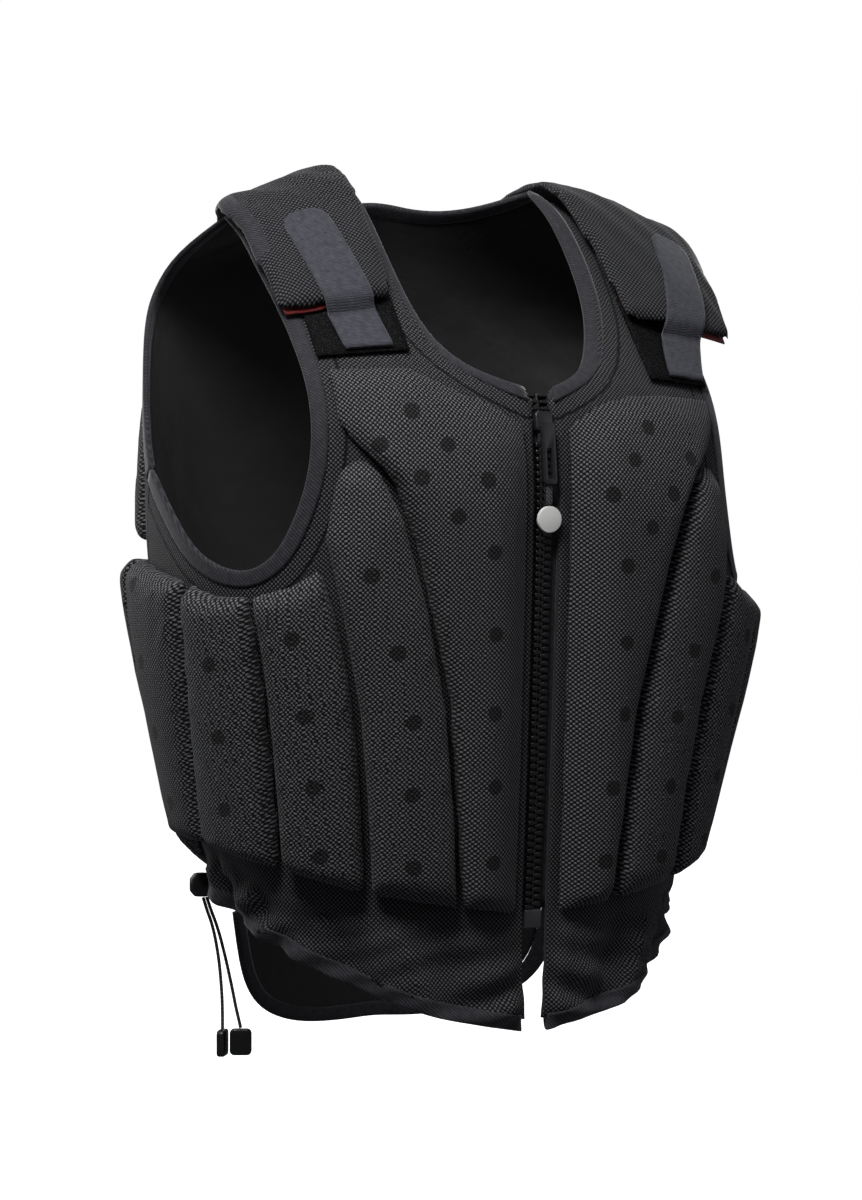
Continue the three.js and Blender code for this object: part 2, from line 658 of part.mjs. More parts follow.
// Place on a flap: up from its end on the front (0), over the ridge, to its start at the back (1)
function flapPlace(strap) {
  const front = 1 - strap.end;
  return (s, t) => {
    const way = t * (front + 1 - strap.behind);
    const back = way > front;
    const along = back ? 1 + front - way : strap.end + way;
    const share = back ? 0 : (1 - along) / front;
    const inner = THREE.MathUtils.lerp(strap.ridgeIn, strap.endIn, share);
    const outer = THREE.MathUtils.lerp(strap.ridgeOut, strap.endOut, share);
    const turn = turnAt(halfWidth * THREE.MathUtils.lerp(inner, outer, s), along);
    return [back ? 180 - turn : turn, along];
  };
}

// Shoulder tab: a strap sewn to the flap, which closes on the patch. Rows from its free end up.
function tabGeometry(strap, side) {
  const bare = [
    { along: strap.tabLow, lift: tabOnPatch, width: 1 },
    { along: strap.end - 4 * peepAlong, lift: tabOnPatch, width: 1 },
    { along: strap.end - 1.6 * peepAlong, lift: THREE.MathUtils.lerp(tabOnPatch, tabOnFlap, 0.55), width: 1 },
    { along: strap.end + 1.2 * peepAlong, lift: tabOnFlap, width: 1 },
    { along: 0.83, lift: tabOnFlap, width: 1 },
    { along: 0.86, lift: tabOnFlap, width: 1 },
    { along: 0.885, lift: tabOnFlap, width: 1 },
    { along: strap.tabHigh - 0.016, lift: tabOnFlap, width: 1 },
    { along: strap.tabHigh - 0.007, lift: tabOnFlap, width: 0.86 },
    { along: strap.tabHigh - 0.002, lift: tabOnFlap, width: 0.6 },
    { along: strap.tabHigh, lift: tabOnFlap, width: 0.3 },
  ];
  const sheet = (extra) => bare.map(({ along, lift, width }) => {
    const share = (along - strap.tabLow) / (strap.tabHigh - strap.tabLow);
    const centre = halfWidth * THREE.MathUtils.lerp(strap.tabLowCentre, strap.tabHighCentre, share);
    return [-1, 0, 1].map((k) => {
      const x = centre + k * width * tabWidth / 2;
      return skin(side * turnAt(x, along), along, lift + extra);
    });
  });
  return solidBetween(sheet(tabWall), sheet(0));
}

for (const [name, side] of sides) {
  const strap = straps[name];
  const flapIn = halfWidth * strap.endIn + 2 * facingPeep;
  const flapOut = halfWidth * strap.endOut - 2 * facingPeep;
  const facingPlace = acrossAt(flapIn, flapOut, strap.end - peepAlong, strap.end + facingLength);
  const patchIn = halfWidth * strap.patchIn;
  const patchOut = halfWidth * strap.patchOut;
  const patchPlace = acrossAt(patchIn, patchOut, strap.patchLow, strap.patchHigh);
  add(`shoulder_flap_${name}`, cushion(flapPlace(strap), side, flapForm), "mesh");
  add(`flap_facing_${name}`, flatSheet(facingPlace, side, facingForm), "facing");
  add(`hook_patch_${name}`, flatSheet(patchPlace, side, patchForm), "webbing");
  add(`shoulder_tab_${name}`, tabGeometry(strap, side), "webbing");
}

// Zip: two tapes under the front edges, closed teeth up to the slider, and two open rows above it.
const tapeTop = -bindingLip - 3 * gap;
const chainFloor = tapeTop - tapeWall;
const chainTop = chainFloor + chainThickness;
const zip = { low: 0.137, slider: 0.643, high: 0.686 };
const sliderTop = moved([0, zip.slider], 0, sliderLength)[1];
const gapAlong = gap / clothLength;
const tapeSteps = Array.from({ length: 13 }, (_, i) => i / 12);
const tapePlace = acrossAt(chainWidth / 2 + gap, zipLane / 2 + tapeHem, zip.low, zip.high);
const tapeForm = { across: [0, 0.5, 1], up: tapeSteps, floor: tapeTop - tapeWall, wall: tapeWall };
const rowPlace = acrossAt(chainWidth / 2 - rowWidth, chainWidth / 2, sliderTop + gapAlong, zip.high);
const rowForm = { across: [0, 1], up: [0, 0.5, 1], floor: chainFloor, wall: chainThickness };
for (const [name, side] of sides) {
  add(`zip_tape_${name}`, flatSheet(tapePlace, side, tapeForm), "channelCloth");
  add(`zip_open_teeth_${name}`, flatSheet(rowPlace, side, rowForm), "moulded");
}

function closedTeeth() {
  const high = zip.slider - gapAlong;
  const count = 2 * Math.round((high - zip.low) * clothLength / toothPitch);
  const steps = Array.from({ length: count + 1 }, (_, i) => i);
  const row = (i, lift) => [-1, 1].map((side) => {
    const along = THREE.MathUtils.lerp(zip.low, high, i / count);
    return skin(side * turnAt(chainWidth / 2, along), along, lift);
  });
  const outer = steps.map((i) => row(i, chainTop - (i % 2) * toothRelief));
  return solidBetween(outer, steps.map((i) => row(i, chainFloor)));
}

add("zip_teeth", closedTeeth(), "moulded");

// Corners of any closed three.js geometry, without the flat triangles at its poles.
function bodyOf(geometry) {
  const loose = geometry.index ? geometry.toNonIndexed() : geometry;
  const positions = loose.getAttribute("position");
  const corners = [];
  for (let i = 0; i < positions.count; i += 3) {
    const three = [0, 1, 2].map((k) => new THREE.Vector3().fromBufferAttribute(positions, i + k));
    const triangle = new THREE.Triangle(...three);
    if (triangle.getArea() > 1e-6) corners.push(...three);
  }
  return closed(corners);
}

// A flat plate with its outline drawn across and up, laid on the middle line of the chest.
function seatOnChest(mesh, along, lift) {
  const right = new THREE.Vector3(1, 0, 0);
  const up = skin(0, along + 0.01, 0).sub(skin(0, along - 0.01, 0)).normalize();
  const out = new THREE.Vector3().crossVectors(right, up);
  mesh.quaternion.setFromRotationMatrix(new THREE.Matrix4().makeBasis(right, up, out));
  mesh.position.copy(skin(0, along, lift));
}

function roundedOutline(width, height, radius, ShapeClass = THREE.Shape) {
  const [x, y] = [width / 2, height / 2];
  const outline = new ShapeClass();
  outline.moveTo(-x + radius, -y);
  outline.lineTo(x - radius, -y);
  outline.absarc(x - radius, -y + radius, radius, -Math.PI / 2, 0);
  outline.lineTo(x, y - radius);
  outline.absarc(x - radius, y - radius, radius, 0, Math.PI / 2);
  outline.lineTo(-x + radius, y);
  outline.absarc(-x + radius, y - radius, radius, Math.PI / 2, Math.PI);
  outline.lineTo(-x, -y + radius);
  outline.absarc(-x + radius, -y + radius, radius, Math.PI, 1.5 * Math.PI);
  return outline;
}

function plate(outline, wall) {
  return bodyOf(new THREE.ExtrudeGeometry(outline, { depth: wall, bevelEnabled: false, curveSegments: 3 }));
}

const down = (from, distance) => moved([0, from], 0, -distance)[1];
const sliderFloor = tapeTop + gap;
const sliderBody = plate(roundedOutline(sliderWidth, sliderLength, 3), sliderHeight);
const slider = add("zip_slider", sliderBody, "moulded");
seatOnChest(slider, (zip.slider + sliderTop) / 2, sliderFloor);

const pullFloor = sliderFloor + sliderHeight + gap;
const pullerOutline = roundedOutline(pullerWidth, pullerLength, 2);
const slot = roundedOutline(pullerWidth * 0.4, pullerLength * 0.5, 1, THREE.Path);
for (const curve of slot.curves) {
  for (const key of ["v1", "v2"]) if (curve[key]) curve[key].y -= pullerLength * 0.17;
  if (curve.aY !== undefined) curve.aY -= pullerLength * 0.17;
}
pullerOutline.holes.push(slot);
const puller = add("zip_puller", plate(pullerOutline, pullerWall), "moulded");
const pullerTop = zip.slider + 0.009;
seatOnChest(puller, down(pullerTop, pullerLength / 2), pullFloor);

const linkTop = down(pullerTop, pullerLength + gap);
const link = add("zip_link", plate(roundedOutline(linkWidth, linkLength, 1), linkWall), "cord");
seatOnChest(link, down(linkTop, linkLength / 2), pullFloor);

const discTop = down(linkTop, linkLength + gap);
const round = new THREE.Shape().absarc(0, 0, discDiameter / 2, 0, 2 * Math.PI);
const discOptions = { depth: discWall, bevelEnabled: false, curveSegments: 12 };
const disc = add("zip_disc", bodyOf(new THREE.ExtrudeGeometry(round, discOptions)), "disc");
seatOnChest(disc, down(discTop, discDiameter / 2), pullFloor);

const box = add("zip_box", plate(roundedOutline(boxWidth, boxLength, 1), boxHeight), "moulded");
seatOnChest(box, down(zip.low, gap + boxLength / 2), chainFloor);

// Waist drawcord on the right: a cord lock against the hem, and two cords that hang from it.
const lock = { turn: -124.5, along: 0.148 };
const lockPlace = skin(lock.turn, lock.along, shellWall + bindingLip + gap + lockDiameter / 2);
const barrelShares = [[0, -0.5], [0.62, -0.5], [1, -0.25], [1, 0.25], [0.62, 0.5], [0, 0.5]];
const barrel = barrelShares.map(([radius, height]) => {
  return new THREE.Vector2(radius * lockDiameter / 2, height * lockLength);
});
const lockMesh = add("cord_lock", bodyOf(new THREE.LatheGeometry(barrel, 12)), "moulded");
lockMesh.rotation.x = Math.PI / 2;
lockMesh.position.copy(lockPlace);

// The cords below the lock's centre. across: how far each lies to the side of the cords' plane. turn: degrees
// by which its end is turned. route: [towards the front, down].
const cords = {
  front: {
    across: -1.7,
    turn: 80,
    route: [
      [1.4, 8], [2.6, 12], [4.2, 17], [6, 22], [7.6, 27.5], [9, 33.5], [10.2, 40], [11.2, 46.5], [12, 53],
      [12.6, 59.5], [13.1, 66], [13.5, 72.5], [13.7, 79], [13.8, 85.5], [13.8, 92],
    ],
  },
  back: {
    across: 1.7,
    turn: 0,
    route: [
      [3.4, 8], [4.7, 12], [6.4, 17], [8.3, 22], [10.2, 27.5], [12, 33.5], [13.7, 40], [15.3, 46.5], [16.8, 53],
      [18.2, 59.5], [19.6, 66], [20.9, 72.5], [22.2, 79], [23.7, 85.5], [25.2, 92],
    ],
  },
};
const cordPlane = THREE.MathUtils.degToRad(27);
const towardsFront = new THREE.Vector3(Math.cos(cordPlane), -Math.sin(cordPlane), 0);
const acrossPlane = new THREE.Vector3(Math.sin(cordPlane), Math.cos(cordPlane), 0);

function belowLock([forward, depth], across) {
  const point = lockPlace.clone().addScaledVector(towardsFront, forward).addScaledVector(acrossPlane, across);
  point.z -= depth;
  return point;
}

const cordSection = new THREE.Shape().absarc(0, 0, cordDiameter / 2, 0, 2 * Math.PI);
const upright = new THREE.Vector3(0, 0, 1);
for (const [name, { across, turn, route }] of Object.entries(cords)) {
  const places = route.map((place) => belowLock(place, across));
  const path = new THREE.CatmullRomCurve3(places, false, "centripetal");
  const tube = new THREE.ExtrudeGeometry(cordSection, { steps: 16, extrudePath: path, curveSegments: 4 });
  add(`drawcord_${name}`, bodyOf(tube), "cord");
  const endBody = plate(roundedOutline(cordEndWidth, cordEndLength, 3), cordEndWall);
  const end = add(`cord_end_${name}`, endBody.translate(0, 0, -cordEndWall / 2), "moulded");
  const tilt = THREE.MathUtils.degToRad(turn);
  const level = towardsFront.clone().multiplyScalar(Math.cos(tilt)).addScaledVector(acrossPlane, Math.sin(tilt));
  const facing = new THREE.Vector3().crossVectors(level, upright);
  end.quaternion.setFromRotationMatrix(new THREE.Matrix4().makeBasis(level, upright, facing));
  const [forward, depth] = route.at(-1);
  end.position.copy(belowLock([forward, depth + gap + cordEndLength / 2], across));
}

export default root;
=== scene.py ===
import math

import bpy
import numpy as np
from mathutils import Matrix, Vector
from mathutils.kdtree import KDTree


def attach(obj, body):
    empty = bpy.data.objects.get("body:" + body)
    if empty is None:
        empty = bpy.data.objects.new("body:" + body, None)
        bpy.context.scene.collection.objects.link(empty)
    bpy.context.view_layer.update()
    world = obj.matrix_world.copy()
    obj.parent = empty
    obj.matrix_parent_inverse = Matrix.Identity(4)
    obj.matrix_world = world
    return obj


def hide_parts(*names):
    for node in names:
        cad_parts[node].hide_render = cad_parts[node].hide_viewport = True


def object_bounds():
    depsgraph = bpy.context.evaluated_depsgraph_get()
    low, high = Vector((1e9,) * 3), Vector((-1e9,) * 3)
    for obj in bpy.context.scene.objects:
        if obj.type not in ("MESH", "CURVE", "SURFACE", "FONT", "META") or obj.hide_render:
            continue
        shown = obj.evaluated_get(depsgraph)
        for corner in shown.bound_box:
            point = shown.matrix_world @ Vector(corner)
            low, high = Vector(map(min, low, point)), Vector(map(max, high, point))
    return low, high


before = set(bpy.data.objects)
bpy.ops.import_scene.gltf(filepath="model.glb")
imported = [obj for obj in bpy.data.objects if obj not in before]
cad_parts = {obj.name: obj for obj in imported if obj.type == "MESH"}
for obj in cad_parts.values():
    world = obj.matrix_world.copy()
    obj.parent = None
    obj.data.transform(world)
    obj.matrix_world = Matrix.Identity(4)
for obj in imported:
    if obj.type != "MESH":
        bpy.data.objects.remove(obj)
cad_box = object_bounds()
bpy.ops.object.select_all(action="DESELECT")

# Studio: a level camera to the wearer's right of the front, a pale floor below the garment, soft light from
# above and from the wearer's right, and white all round.
frame_pixels = (862, 1200)
pixel = 0.00064
axis_pixel = (446, 587)
camera_turn = math.radians(-27)
camera_away = 1.9
camera_height = -0.241
camera_side = Vector((math.sin(camera_turn), -math.cos(camera_turn), 0))
bpy.ops.object.camera_add(
    location=camera_side * camera_away + Vector((0, 0, camera_height)),
    rotation=(math.radians(90), 0, camera_turn),
)
camera = bpy.context.object
camera.data.sensor_fit = "VERTICAL"
camera.data.sensor_height = 36
camera.data.lens = 36 * camera_away / (frame_pixels[1] * pixel)
camera.data.shift_x = -(axis_pixel[0] - frame_pixels[0] / 2) / frame_pixels[1]
camera.data.shift_y = -(frame_pixels[1] / 2 - axis_pixel[1]) / frame_pixels[1]
bpy.context.scene.camera = camera
bpy.context.scene.view_settings.view_transform = "Standard"


def linear(hex_colour, alpha=1.0):
    """The linear values of an sRGB colour such as 2b2b2d."""
    parts = [int(hex_colour[i:i + 2], 16) / 255 for i in (0, 2, 4)]
    return [c / 12.92 if c <= 0.04045 else ((c + 0.055) / 1.055) ** 2.4 for c in parts] + [alpha]


def add_node(tree, kind, settings, inputs):
    """A node with its settings, and its inputs set to values or linked from other nodes' outputs."""
    node = tree.nodes.new(kind)
    for name, value in settings.items():
        setattr(node, name, value)
    for name, value in inputs.items():
        if isinstance(value, bpy.types.NodeSocket):
            tree.links.new(value, node.inputs[name])
        else:
            node.inputs[name].default_value = value
    return node


def new_material(name):
    """A material with only its output, and its node tree."""
    material = bpy.data.materials.new(name)
    material.use_nodes = True
    material.node_tree.nodes.clear()
    return material, material.node_tree


world = bpy.data.worlds.new("white studio")
bpy.context.scene.world = world
world.use_nodes = True
world.node_tree.nodes.clear()
to_camera = add_node(world.node_tree, "ShaderNodeLightPath", {}, {})
around = add_node(world.node_tree, "ShaderNodeBackground", {}, {"Color": linear("f4f6ff"), "Strength": 0.1})
behind = add_node(world.node_tree, "ShaderNodeBackground", {}, {"Color": (1, 1, 1, 1), "Strength": 1.0})
both = add_node(world.node_tree, "ShaderNodeMixShader", {}, {
    0: to_camera.outputs["Is Camera Ray"], 1: around.outputs[0], 2: behind.outputs[0],
})
add_node(world.node_tree, "ShaderNodeOutputWorld", {}, {"Surface": both.outputs[0]})

lamps = [
    {"name": "key", "place": (-0.78, -0.72, 0.92), "size": 0.6, "power": 21},
    {"name": "top", "place": (0.1, -0.6, 2.1), "size": 1.2, "power": 9},
    {"name": "fill", "place": (1.9, -1.6, 0.5), "size": 1.6, "power": 4},
    {"name": "rim", "place": (1.2, 1.8, 1.2), "size": 1.2, "power": 14},
    {"name": "back", "place": (-1.0, 1.9, 0.6), "size": 1.6, "power": 14},
]
for lamp in lamps:
    toward = Vector((0, 0, -0.2)) - Vector(lamp["place"])
    aim = toward.to_track_quat("-Z", "Y").to_euler()
    bpy.ops.object.light_add(type="AREA", location=lamp["place"], rotation=aim)
    light = bpy.context.object
    light.name = f"lamp_{lamp['name']}"
    light.data.size = lamp["size"]
    light.data.energy = lamp["power"]

floor_gap = 0.06
floor_width = 6
bpy.ops.mesh.primitive_plane_add(size=floor_width, location=(0, 0, cad_box[0][2] - floor_gap))
floor = bpy.context.object
floor.name = "floor"
pale, tree = new_material("pale floor, matt paint")
paint = add_node(tree, "ShaderNodeBsdfPrincipled", {}, {
    "Base Color": linear("e8e8e8"), "Roughness": 0.9,
    "Emission Color": (1, 1, 1, 1), "Emission Strength": 1.0,
})
add_node(tree, "ShaderNodeOutputMaterial", {}, {"Surface": paint.outputs[0]})
floor.data.materials.append(pale)
floor.visible_diffuse = False
floor.visible_glossy = False

# The garment's surface: level sections of the worn lining, from the front hem up to the shoulder ridge, as in
# the solids. Places on it are a turn in degrees round from the front and a way along the cloth.
front_length = 0.511
cloth_length = 0.56
half_width = 0.19
half_depth = 0.131
shoulder_middle = 0.11
shoulder_fall = 0.36
shell_wall = 0.003
fold_depth = 0.0046
neck_hollow = 0.009
# along, height, half, front, back, shift, square, fall, drawn
section_rows = np.array([
    (-0.107, -1.117, 0.753, 0.87, 0.794, 0, 2.4, 0, 0.055),
    (0, -1, 0.753, 0.875, 0.809, 0, 2.4, 0, 0.055),
    (0.113, -0.877, 0.774, 0.875, 0.824, 0, 2.4, 0, 0.055),
    (0.268, -0.706, 0.863, 0.925, 0.863, 0, 2.4, 0, 0.03),
    (0.411, -0.55, 0.953, 0.962, 0.908, 0, 2.5, 0, 0),
    (0.518, -0.432, 0.995, 0.985, 0.954, 0, 2.6, 0, 0),
    (0.607, -0.335, 1, 0.996, 0.985, 0, 2.6, 0, 0),
    (0.679, -0.256, 0.995, 0.931, 1, 0, 2.7, 0.1, 0),
    (0.75, -0.19, 0.989, 0.718, 1, 0, 2.8, 0.3, 0),
    (0.821, -0.129, 0.979, 0.527, 0.954, 0.023, 3, 0.55, 0),
    (0.893, -0.07, 0.968, 0.351, 0.84, 0.061, 3.2, 0.8, 0),
    (0.95, -0.025, 0.958, 0.183, 0.58, 0.092, 3.2, 0.95, 0),
    (1, 0, 0.953, 0, 0, 0.115, 3.2, 1, 0),
])
# turn, lean, width, depth
fold_rows = [
    (9, 40, 5, 0.5), (23, 70, 5, 1), (37, 95, 5, -0.8), (50, 110, 5, 1), (65, 110, 6, -0.7), (82, 80, 6, 0.8),
    (99, 40, 6, -0.6),
]
pad_hem = np.array([(0, 0.13), (20, 0.141), (38, 0.157), (58, 0.184), (85, 0.204), (120, 0.206)])


def smooth_step(edge0, edge1, value):
    t = np.clip((value - edge0) / (edge1 - edge0), 0, 1)
    return t * t * (3 - 2 * t)


def section_at(along):
    """The section's columns at each way along the cloth, on a smooth curve through the rows."""
    last = len(section_rows) - 1
    beyond = section_rows[last - 1] * np.array([1, 1, 1, -1, -1, 1, 1, 1, 1])
    rows = np.vstack([section_rows[:1], section_rows, beyond])
    i = np.searchsorted(section_rows[1:last, 0], along, side="left")
    before, start, end, after = rows[i], rows[i + 1], rows[i + 2], rows[i + 3]
    t = ((along - start[..., 0]) / (end[..., 0] - start[..., 0]))[..., None]
    bend = 2 * before - 5 * start + 4 * end - after
    twist = 3 * start - before - 3 * end + after
    return 0.5 * (2 * start + (end - before) * t + bend * t * t + twist * t * t * t)


def fold_at(turn, along):
    """How far the cloth stands out in the folds of the skirt, in metres."""
    away = np.abs(turn)
    below = smooth_step(-0.01, -0.05, along - np.interp(away, pad_hem[:, 0], pad_hem[:, 1]))
    shape = 0
    for at, lean, width, depth in fold_rows:
        shape = shape + depth * np.exp(-((away - at - lean * along) / width) ** 2)
    return np.where(away > 118, 0, fold_depth * below * shape * smooth_step(1, 8, away))


def body_point(turn, along):
    """Points of the worn lining."""
    s = section_at(along)
    half, front, back, shift, square, fall, drawn = (s[..., k] for k in range(2, 9))
    angle = np.radians(turn)
    sine = np.abs(np.sin(angle))
    cosine = np.abs(np.cos(angle))
    reach = (sine ** square + cosine ** square) ** (1 / square)
    depth = np.where(np.cos(angle) > 0, -front, back)
    width = half_width * half * np.where(np.sin(angle) > 0, 1 - drawn, 1)
    x = np.sign(np.sin(angle)) * width * sine / reach
    y = half_depth * (shift + depth * cosine / reach)
    z = front_length * s[..., 1] - shoulder_fall * (np.abs(x) - shoulder_middle) * fall
    return np.stack([x, y, z], -1)


def skin(turn, along, lift):
    """Points of the garment at a lift over the body, with the skirt's folds and the hollow at the throat."""
    turn, along = np.broadcast_arrays(np.asarray(turn, float), np.asarray(along, float))
    point = body_point(turn, along)
    across = body_point(turn + 0.5, along) - body_point(turn - 0.5, along)
    up = body_point(turn, along + 0.002) - body_point(turn, along - 0.002)
    normal = np.cross(across, up)
    normal /= np.linalg.norm(normal, axis=-1)[..., None]
    near_throat = smooth_step(0.4, 0.24, np.abs(point[..., 0]) / half_width) * (np.cos(np.radians(turn)) > 0)
    hollow = neck_hollow * near_throat * smooth_step(0.68, 0.75, along) * smooth_step(1, 0.9, along)
    return point + normal * (lift + fold_at(turn, along) - hollow)[..., None]


# A fine net over the surface, with the distance round and up it at each knot, finds any point's place on the
# cloth, so that every weave is laid in real millimetres and follows the garment. Distances round it start at
# the front.
net_turns = np.linspace(-180, 180, 181)
net_alongs = np.linspace(-0.06, 0.999, 110)
net = skin(*np.meshgrid(net_turns, net_alongs, indexing="ij"), shell_wall)
round_steps = np.linalg.norm(np.diff(net, axis=0), axis=-1)
net_round = np.vstack([np.zeros(net.shape[1]), np.cumsum(round_steps, 0)])
net_round -= net_round[len(net_turns) // 2]
up_steps = np.linalg.norm(np.diff(net, axis=1), axis=-1)
net_up = np.hstack([np.zeros((net.shape[0], 1)), np.cumsum(up_steps, 1)])
net_tree = KDTree(net.shape[0] * net.shape[1])
for knot, place in enumerate(net.reshape(-1, 3)):
    net_tree.insert(place, knot)
net_tree.balance()


def points_of(piece):
    points = np.empty(len(piece.data.vertices) * 3)
    piece.data.vertices.foreach_get("co", points)
    return points.reshape(-1, 3)


def cloth_place(points):
    """For each point its distance round and up the cloth, in metres, its turn and its way along."""
    found = np.array([net_tree.find(p)[1] for p in points])
    i, j = found // net.shape[1], found % net.shape[1]
    i = np.clip(i, 1, net.shape[0] - 2)
    j = np.clip(j, 1, net.shape[1] - 2)
    off = np.asarray(points) - net[i, j]
    round_way = (net[i + 1, j] - net[i - 1, j]) / (net_round[i + 1, j] - net_round[i - 1, j])[:, None]
    up_way = (net[i, j + 1] - net[i, j - 1]) / (net_up[i, j + 1] - net_up[i, j - 1])[:, None]
    a = (round_way * round_way).sum(1)
    b = (round_way * up_way).sum(1)
    c = (up_way * up_way).sum(1)
    p = (off * round_way).sum(1)
    q = (off * up_way).sum(1)
    scale = 1 / (a * c - b * b)
    round_off = (c * p - b * q) * scale
    up_off = (a * q - b * p) * scale
    along_step = net_alongs[j + 1] - net_alongs[j - 1]
    along = net_alongs[j] + up_off * along_step / (net_up[i, j + 1] - net_up[i, j - 1])
    return net_round[i, j] + round_off, net_up[i, j] + up_off, net_turns[i], along


def lay_weave(piece, place=cloth_place):
    """Gives the piece a UV map in millimetres of cloth, round and up. No face runs across the map's ends."""
    mesh = piece.data
    across, up, turn = place(points_of(piece))[:3]
    corner = np.empty(len(mesh.loops), dtype=np.int32)
    mesh.loops.foreach_get("vertex_index", corner)
    first = np.empty(len(mesh.polygons), dtype=np.int32)
    mesh.polygons.foreach_get("loop_start", first)
    count = np.diff(np.append(first, len(corner)))
    lead = np.repeat(turn[corner[first]], count)
    wrapped = np.sign(lead) * (np.abs(turn[corner] - lead) > 180)
    girth = net_round[-1].max() - net_round[0].min()
    u = across[corner] + wrapped * girth
    uv = np.stack([u * 1000, up[corner] * 1000], -1)
    layer = mesh.uv_layers.get("weave") or mesh.uv_layers.new(name="weave")
    layer.data.foreach_set("uv", uv.ravel())
    return across, up


# Waist drawcord: two thin braided polyester cords, near black, that hang from a moulded cord lock on the
# wearer's right, each with a moulded end crimped on. They follow the garment only at the lock.
def only(piece):
    """Selects this piece alone."""
    bpy.ops.object.select_all(action="DESELECT")
    bpy.context.view_layer.objects.active = piece
    piece.select_set(True)


pairing_angle = math.radians(70)


def soft_copy(node, name):
    """A new piece that replaces a node, from its mesh, with its corners joined and its triangles paired."""
    piece = bpy.data.objects.new(name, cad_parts[node].data.copy())
    bpy.context.scene.collection.objects.link(piece)
    piece.data.materials.clear()
    for layer in list(piece.data.uv_layers):
        piece.data.uv_layers.remove(layer)
    only(piece)
    bpy.ops.object.mode_set(mode="EDIT")
    bpy.ops.mesh.select_all(action="SELECT")
    bpy.ops.mesh.remove_doubles(threshold=0.00001)
    bpy.ops.mesh.tris_convert_to_quads(face_threshold=pairing_angle, shape_threshold=pairing_angle)
    bpy.ops.mesh.select_all(action="DESELECT")
    bpy.ops.object.mode_set(mode="OBJECT")
    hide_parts(node)
    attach(piece, "root")
    return piece


def finish_modifier(piece, kind, **settings):
    """Adds a modifier with its settings and applies it."""
    only(piece)
    modifier = piece.modifiers.new(kind.lower(), kind)
    for name, value in settings.items():
        setattr(modifier, name, value)
    bpy.ops.object.modifier_apply(modifier=modifier.name)


def normals_of(piece):
    return np.array([v.normal[:] for v in piece.data.vertices])


def smooth_all(piece):
    only(piece)
    bpy.ops.object.shade_smooth()


def plastic_material(name, colour, roughness, grain):
    """Moulded plastic: one colour, satin, with the faint unevenness of its mould, grain in metres."""
    material, tree = new_material(name)
    place = add_node(tree, "ShaderNodeTexCoord", {}, {})
    uneven = add_node(tree, "ShaderNodeTexNoise", {}, {
        "Vector": place.outputs["Object"], "Scale": 1 / grain, "Detail": 2.0,
    })
    gloss = add_node(tree, "ShaderNodeMapRange", {}, {
        "Value": uneven.outputs["Fac"], "To Min": roughness - 0.06, "To Max": roughness + 0.1,
    })
    relief = add_node(tree, "ShaderNodeBump", {}, {
        "Strength": 0.25, "Distance": 0.0002, "Height": uneven.outputs["Fac"],
    })
    plastic = add_node(tree, "ShaderNodeBsdfPrincipled", {}, {
        "Base Color": linear(colour), "Roughness": gloss.outputs[0], "IOR": 1.48, "Normal": relief.outputs[0],
    })
    add_node(tree, "ShaderNodeOutputMaterial", {}, {"Surface": plastic.outputs[0]})
    return material


def cord_material():
    material, tree = new_material("cord, braided polyester")
    place = add_node(tree, "ShaderNodeTexCoord", {}, {})
    braid = add_node(tree, "ShaderNodeTexWave", {"bands_direction": "DIAGONAL"}, {
        "Vector": place.outputs["Object"], "Scale": 260.0, "Distortion": 2.0, "Detail": 1.0,
    })
    colour = add_node(tree, "ShaderNodeMix", {"data_type": "RGBA"}, {
        "Factor": braid.outputs["Fac"], 6: linear("101012"), 7: linear("55555b"),
    })
    relief = add_node(tree, "ShaderNodeBump", {}, {
        "Strength": 0.6, "Distance": 0.0002, "Height": braid.outputs["Fac"],
    })
    cloth = add_node(tree, "ShaderNodeBsdfPrincipled", {}, {
        "Base Color": colour.outputs[2], "Roughness": 0.8, "Normal": relief.outputs[0],
    })
    add_node(tree, "ShaderNodeOutputMaterial", {}, {"Surface": cloth.outputs[0]})
    return material


black_plastic = plastic_material("acetal, injection-moulded, black", "19191b", 0.32, 0.0008)
braided_cord = cord_material()


def moulded_copy(node, name, bevel, material):
    """A hard piece from a node's mesh, with its edges rounded off by this much."""
    piece = soft_copy(node, name)
    only(piece)
    bpy.ops.object.mode_set(mode="EDIT")
    bpy.ops.mesh.select_all(action="SELECT")
    bpy.ops.mesh.dissolve_limited(angle_limit=math.radians(3))
    bpy.ops.mesh.select_all(action="DESELECT")
    bpy.ops.object.mode_set(mode="OBJECT")
    finish_modifier(
        piece, "BEVEL", width=bevel, segments=3, limit_method="ANGLE", angle_limit=math.radians(40),
    )
    piece.data.materials.append(material)
    only(piece)
    bpy.ops.object.shade_smooth_by_angle(angle=math.radians(35))
    return piece


cord_diameter = 0.0022
lock_diameter = 0.015
lock_turn = -124.5
lock_along = 0.148
binding_lip = 0.0008
lock_gap = 0.0005
lock_place = skin(lock_turn, lock_along, shell_wall + binding_lip + lock_gap + lock_diameter / 2)
cord_plane = math.radians(27)
towards_front = np.array([math.cos(cord_plane), -math.sin(cord_plane), 0])
across_plane = np.array([math.sin(cord_plane), math.cos(cord_plane), 0])
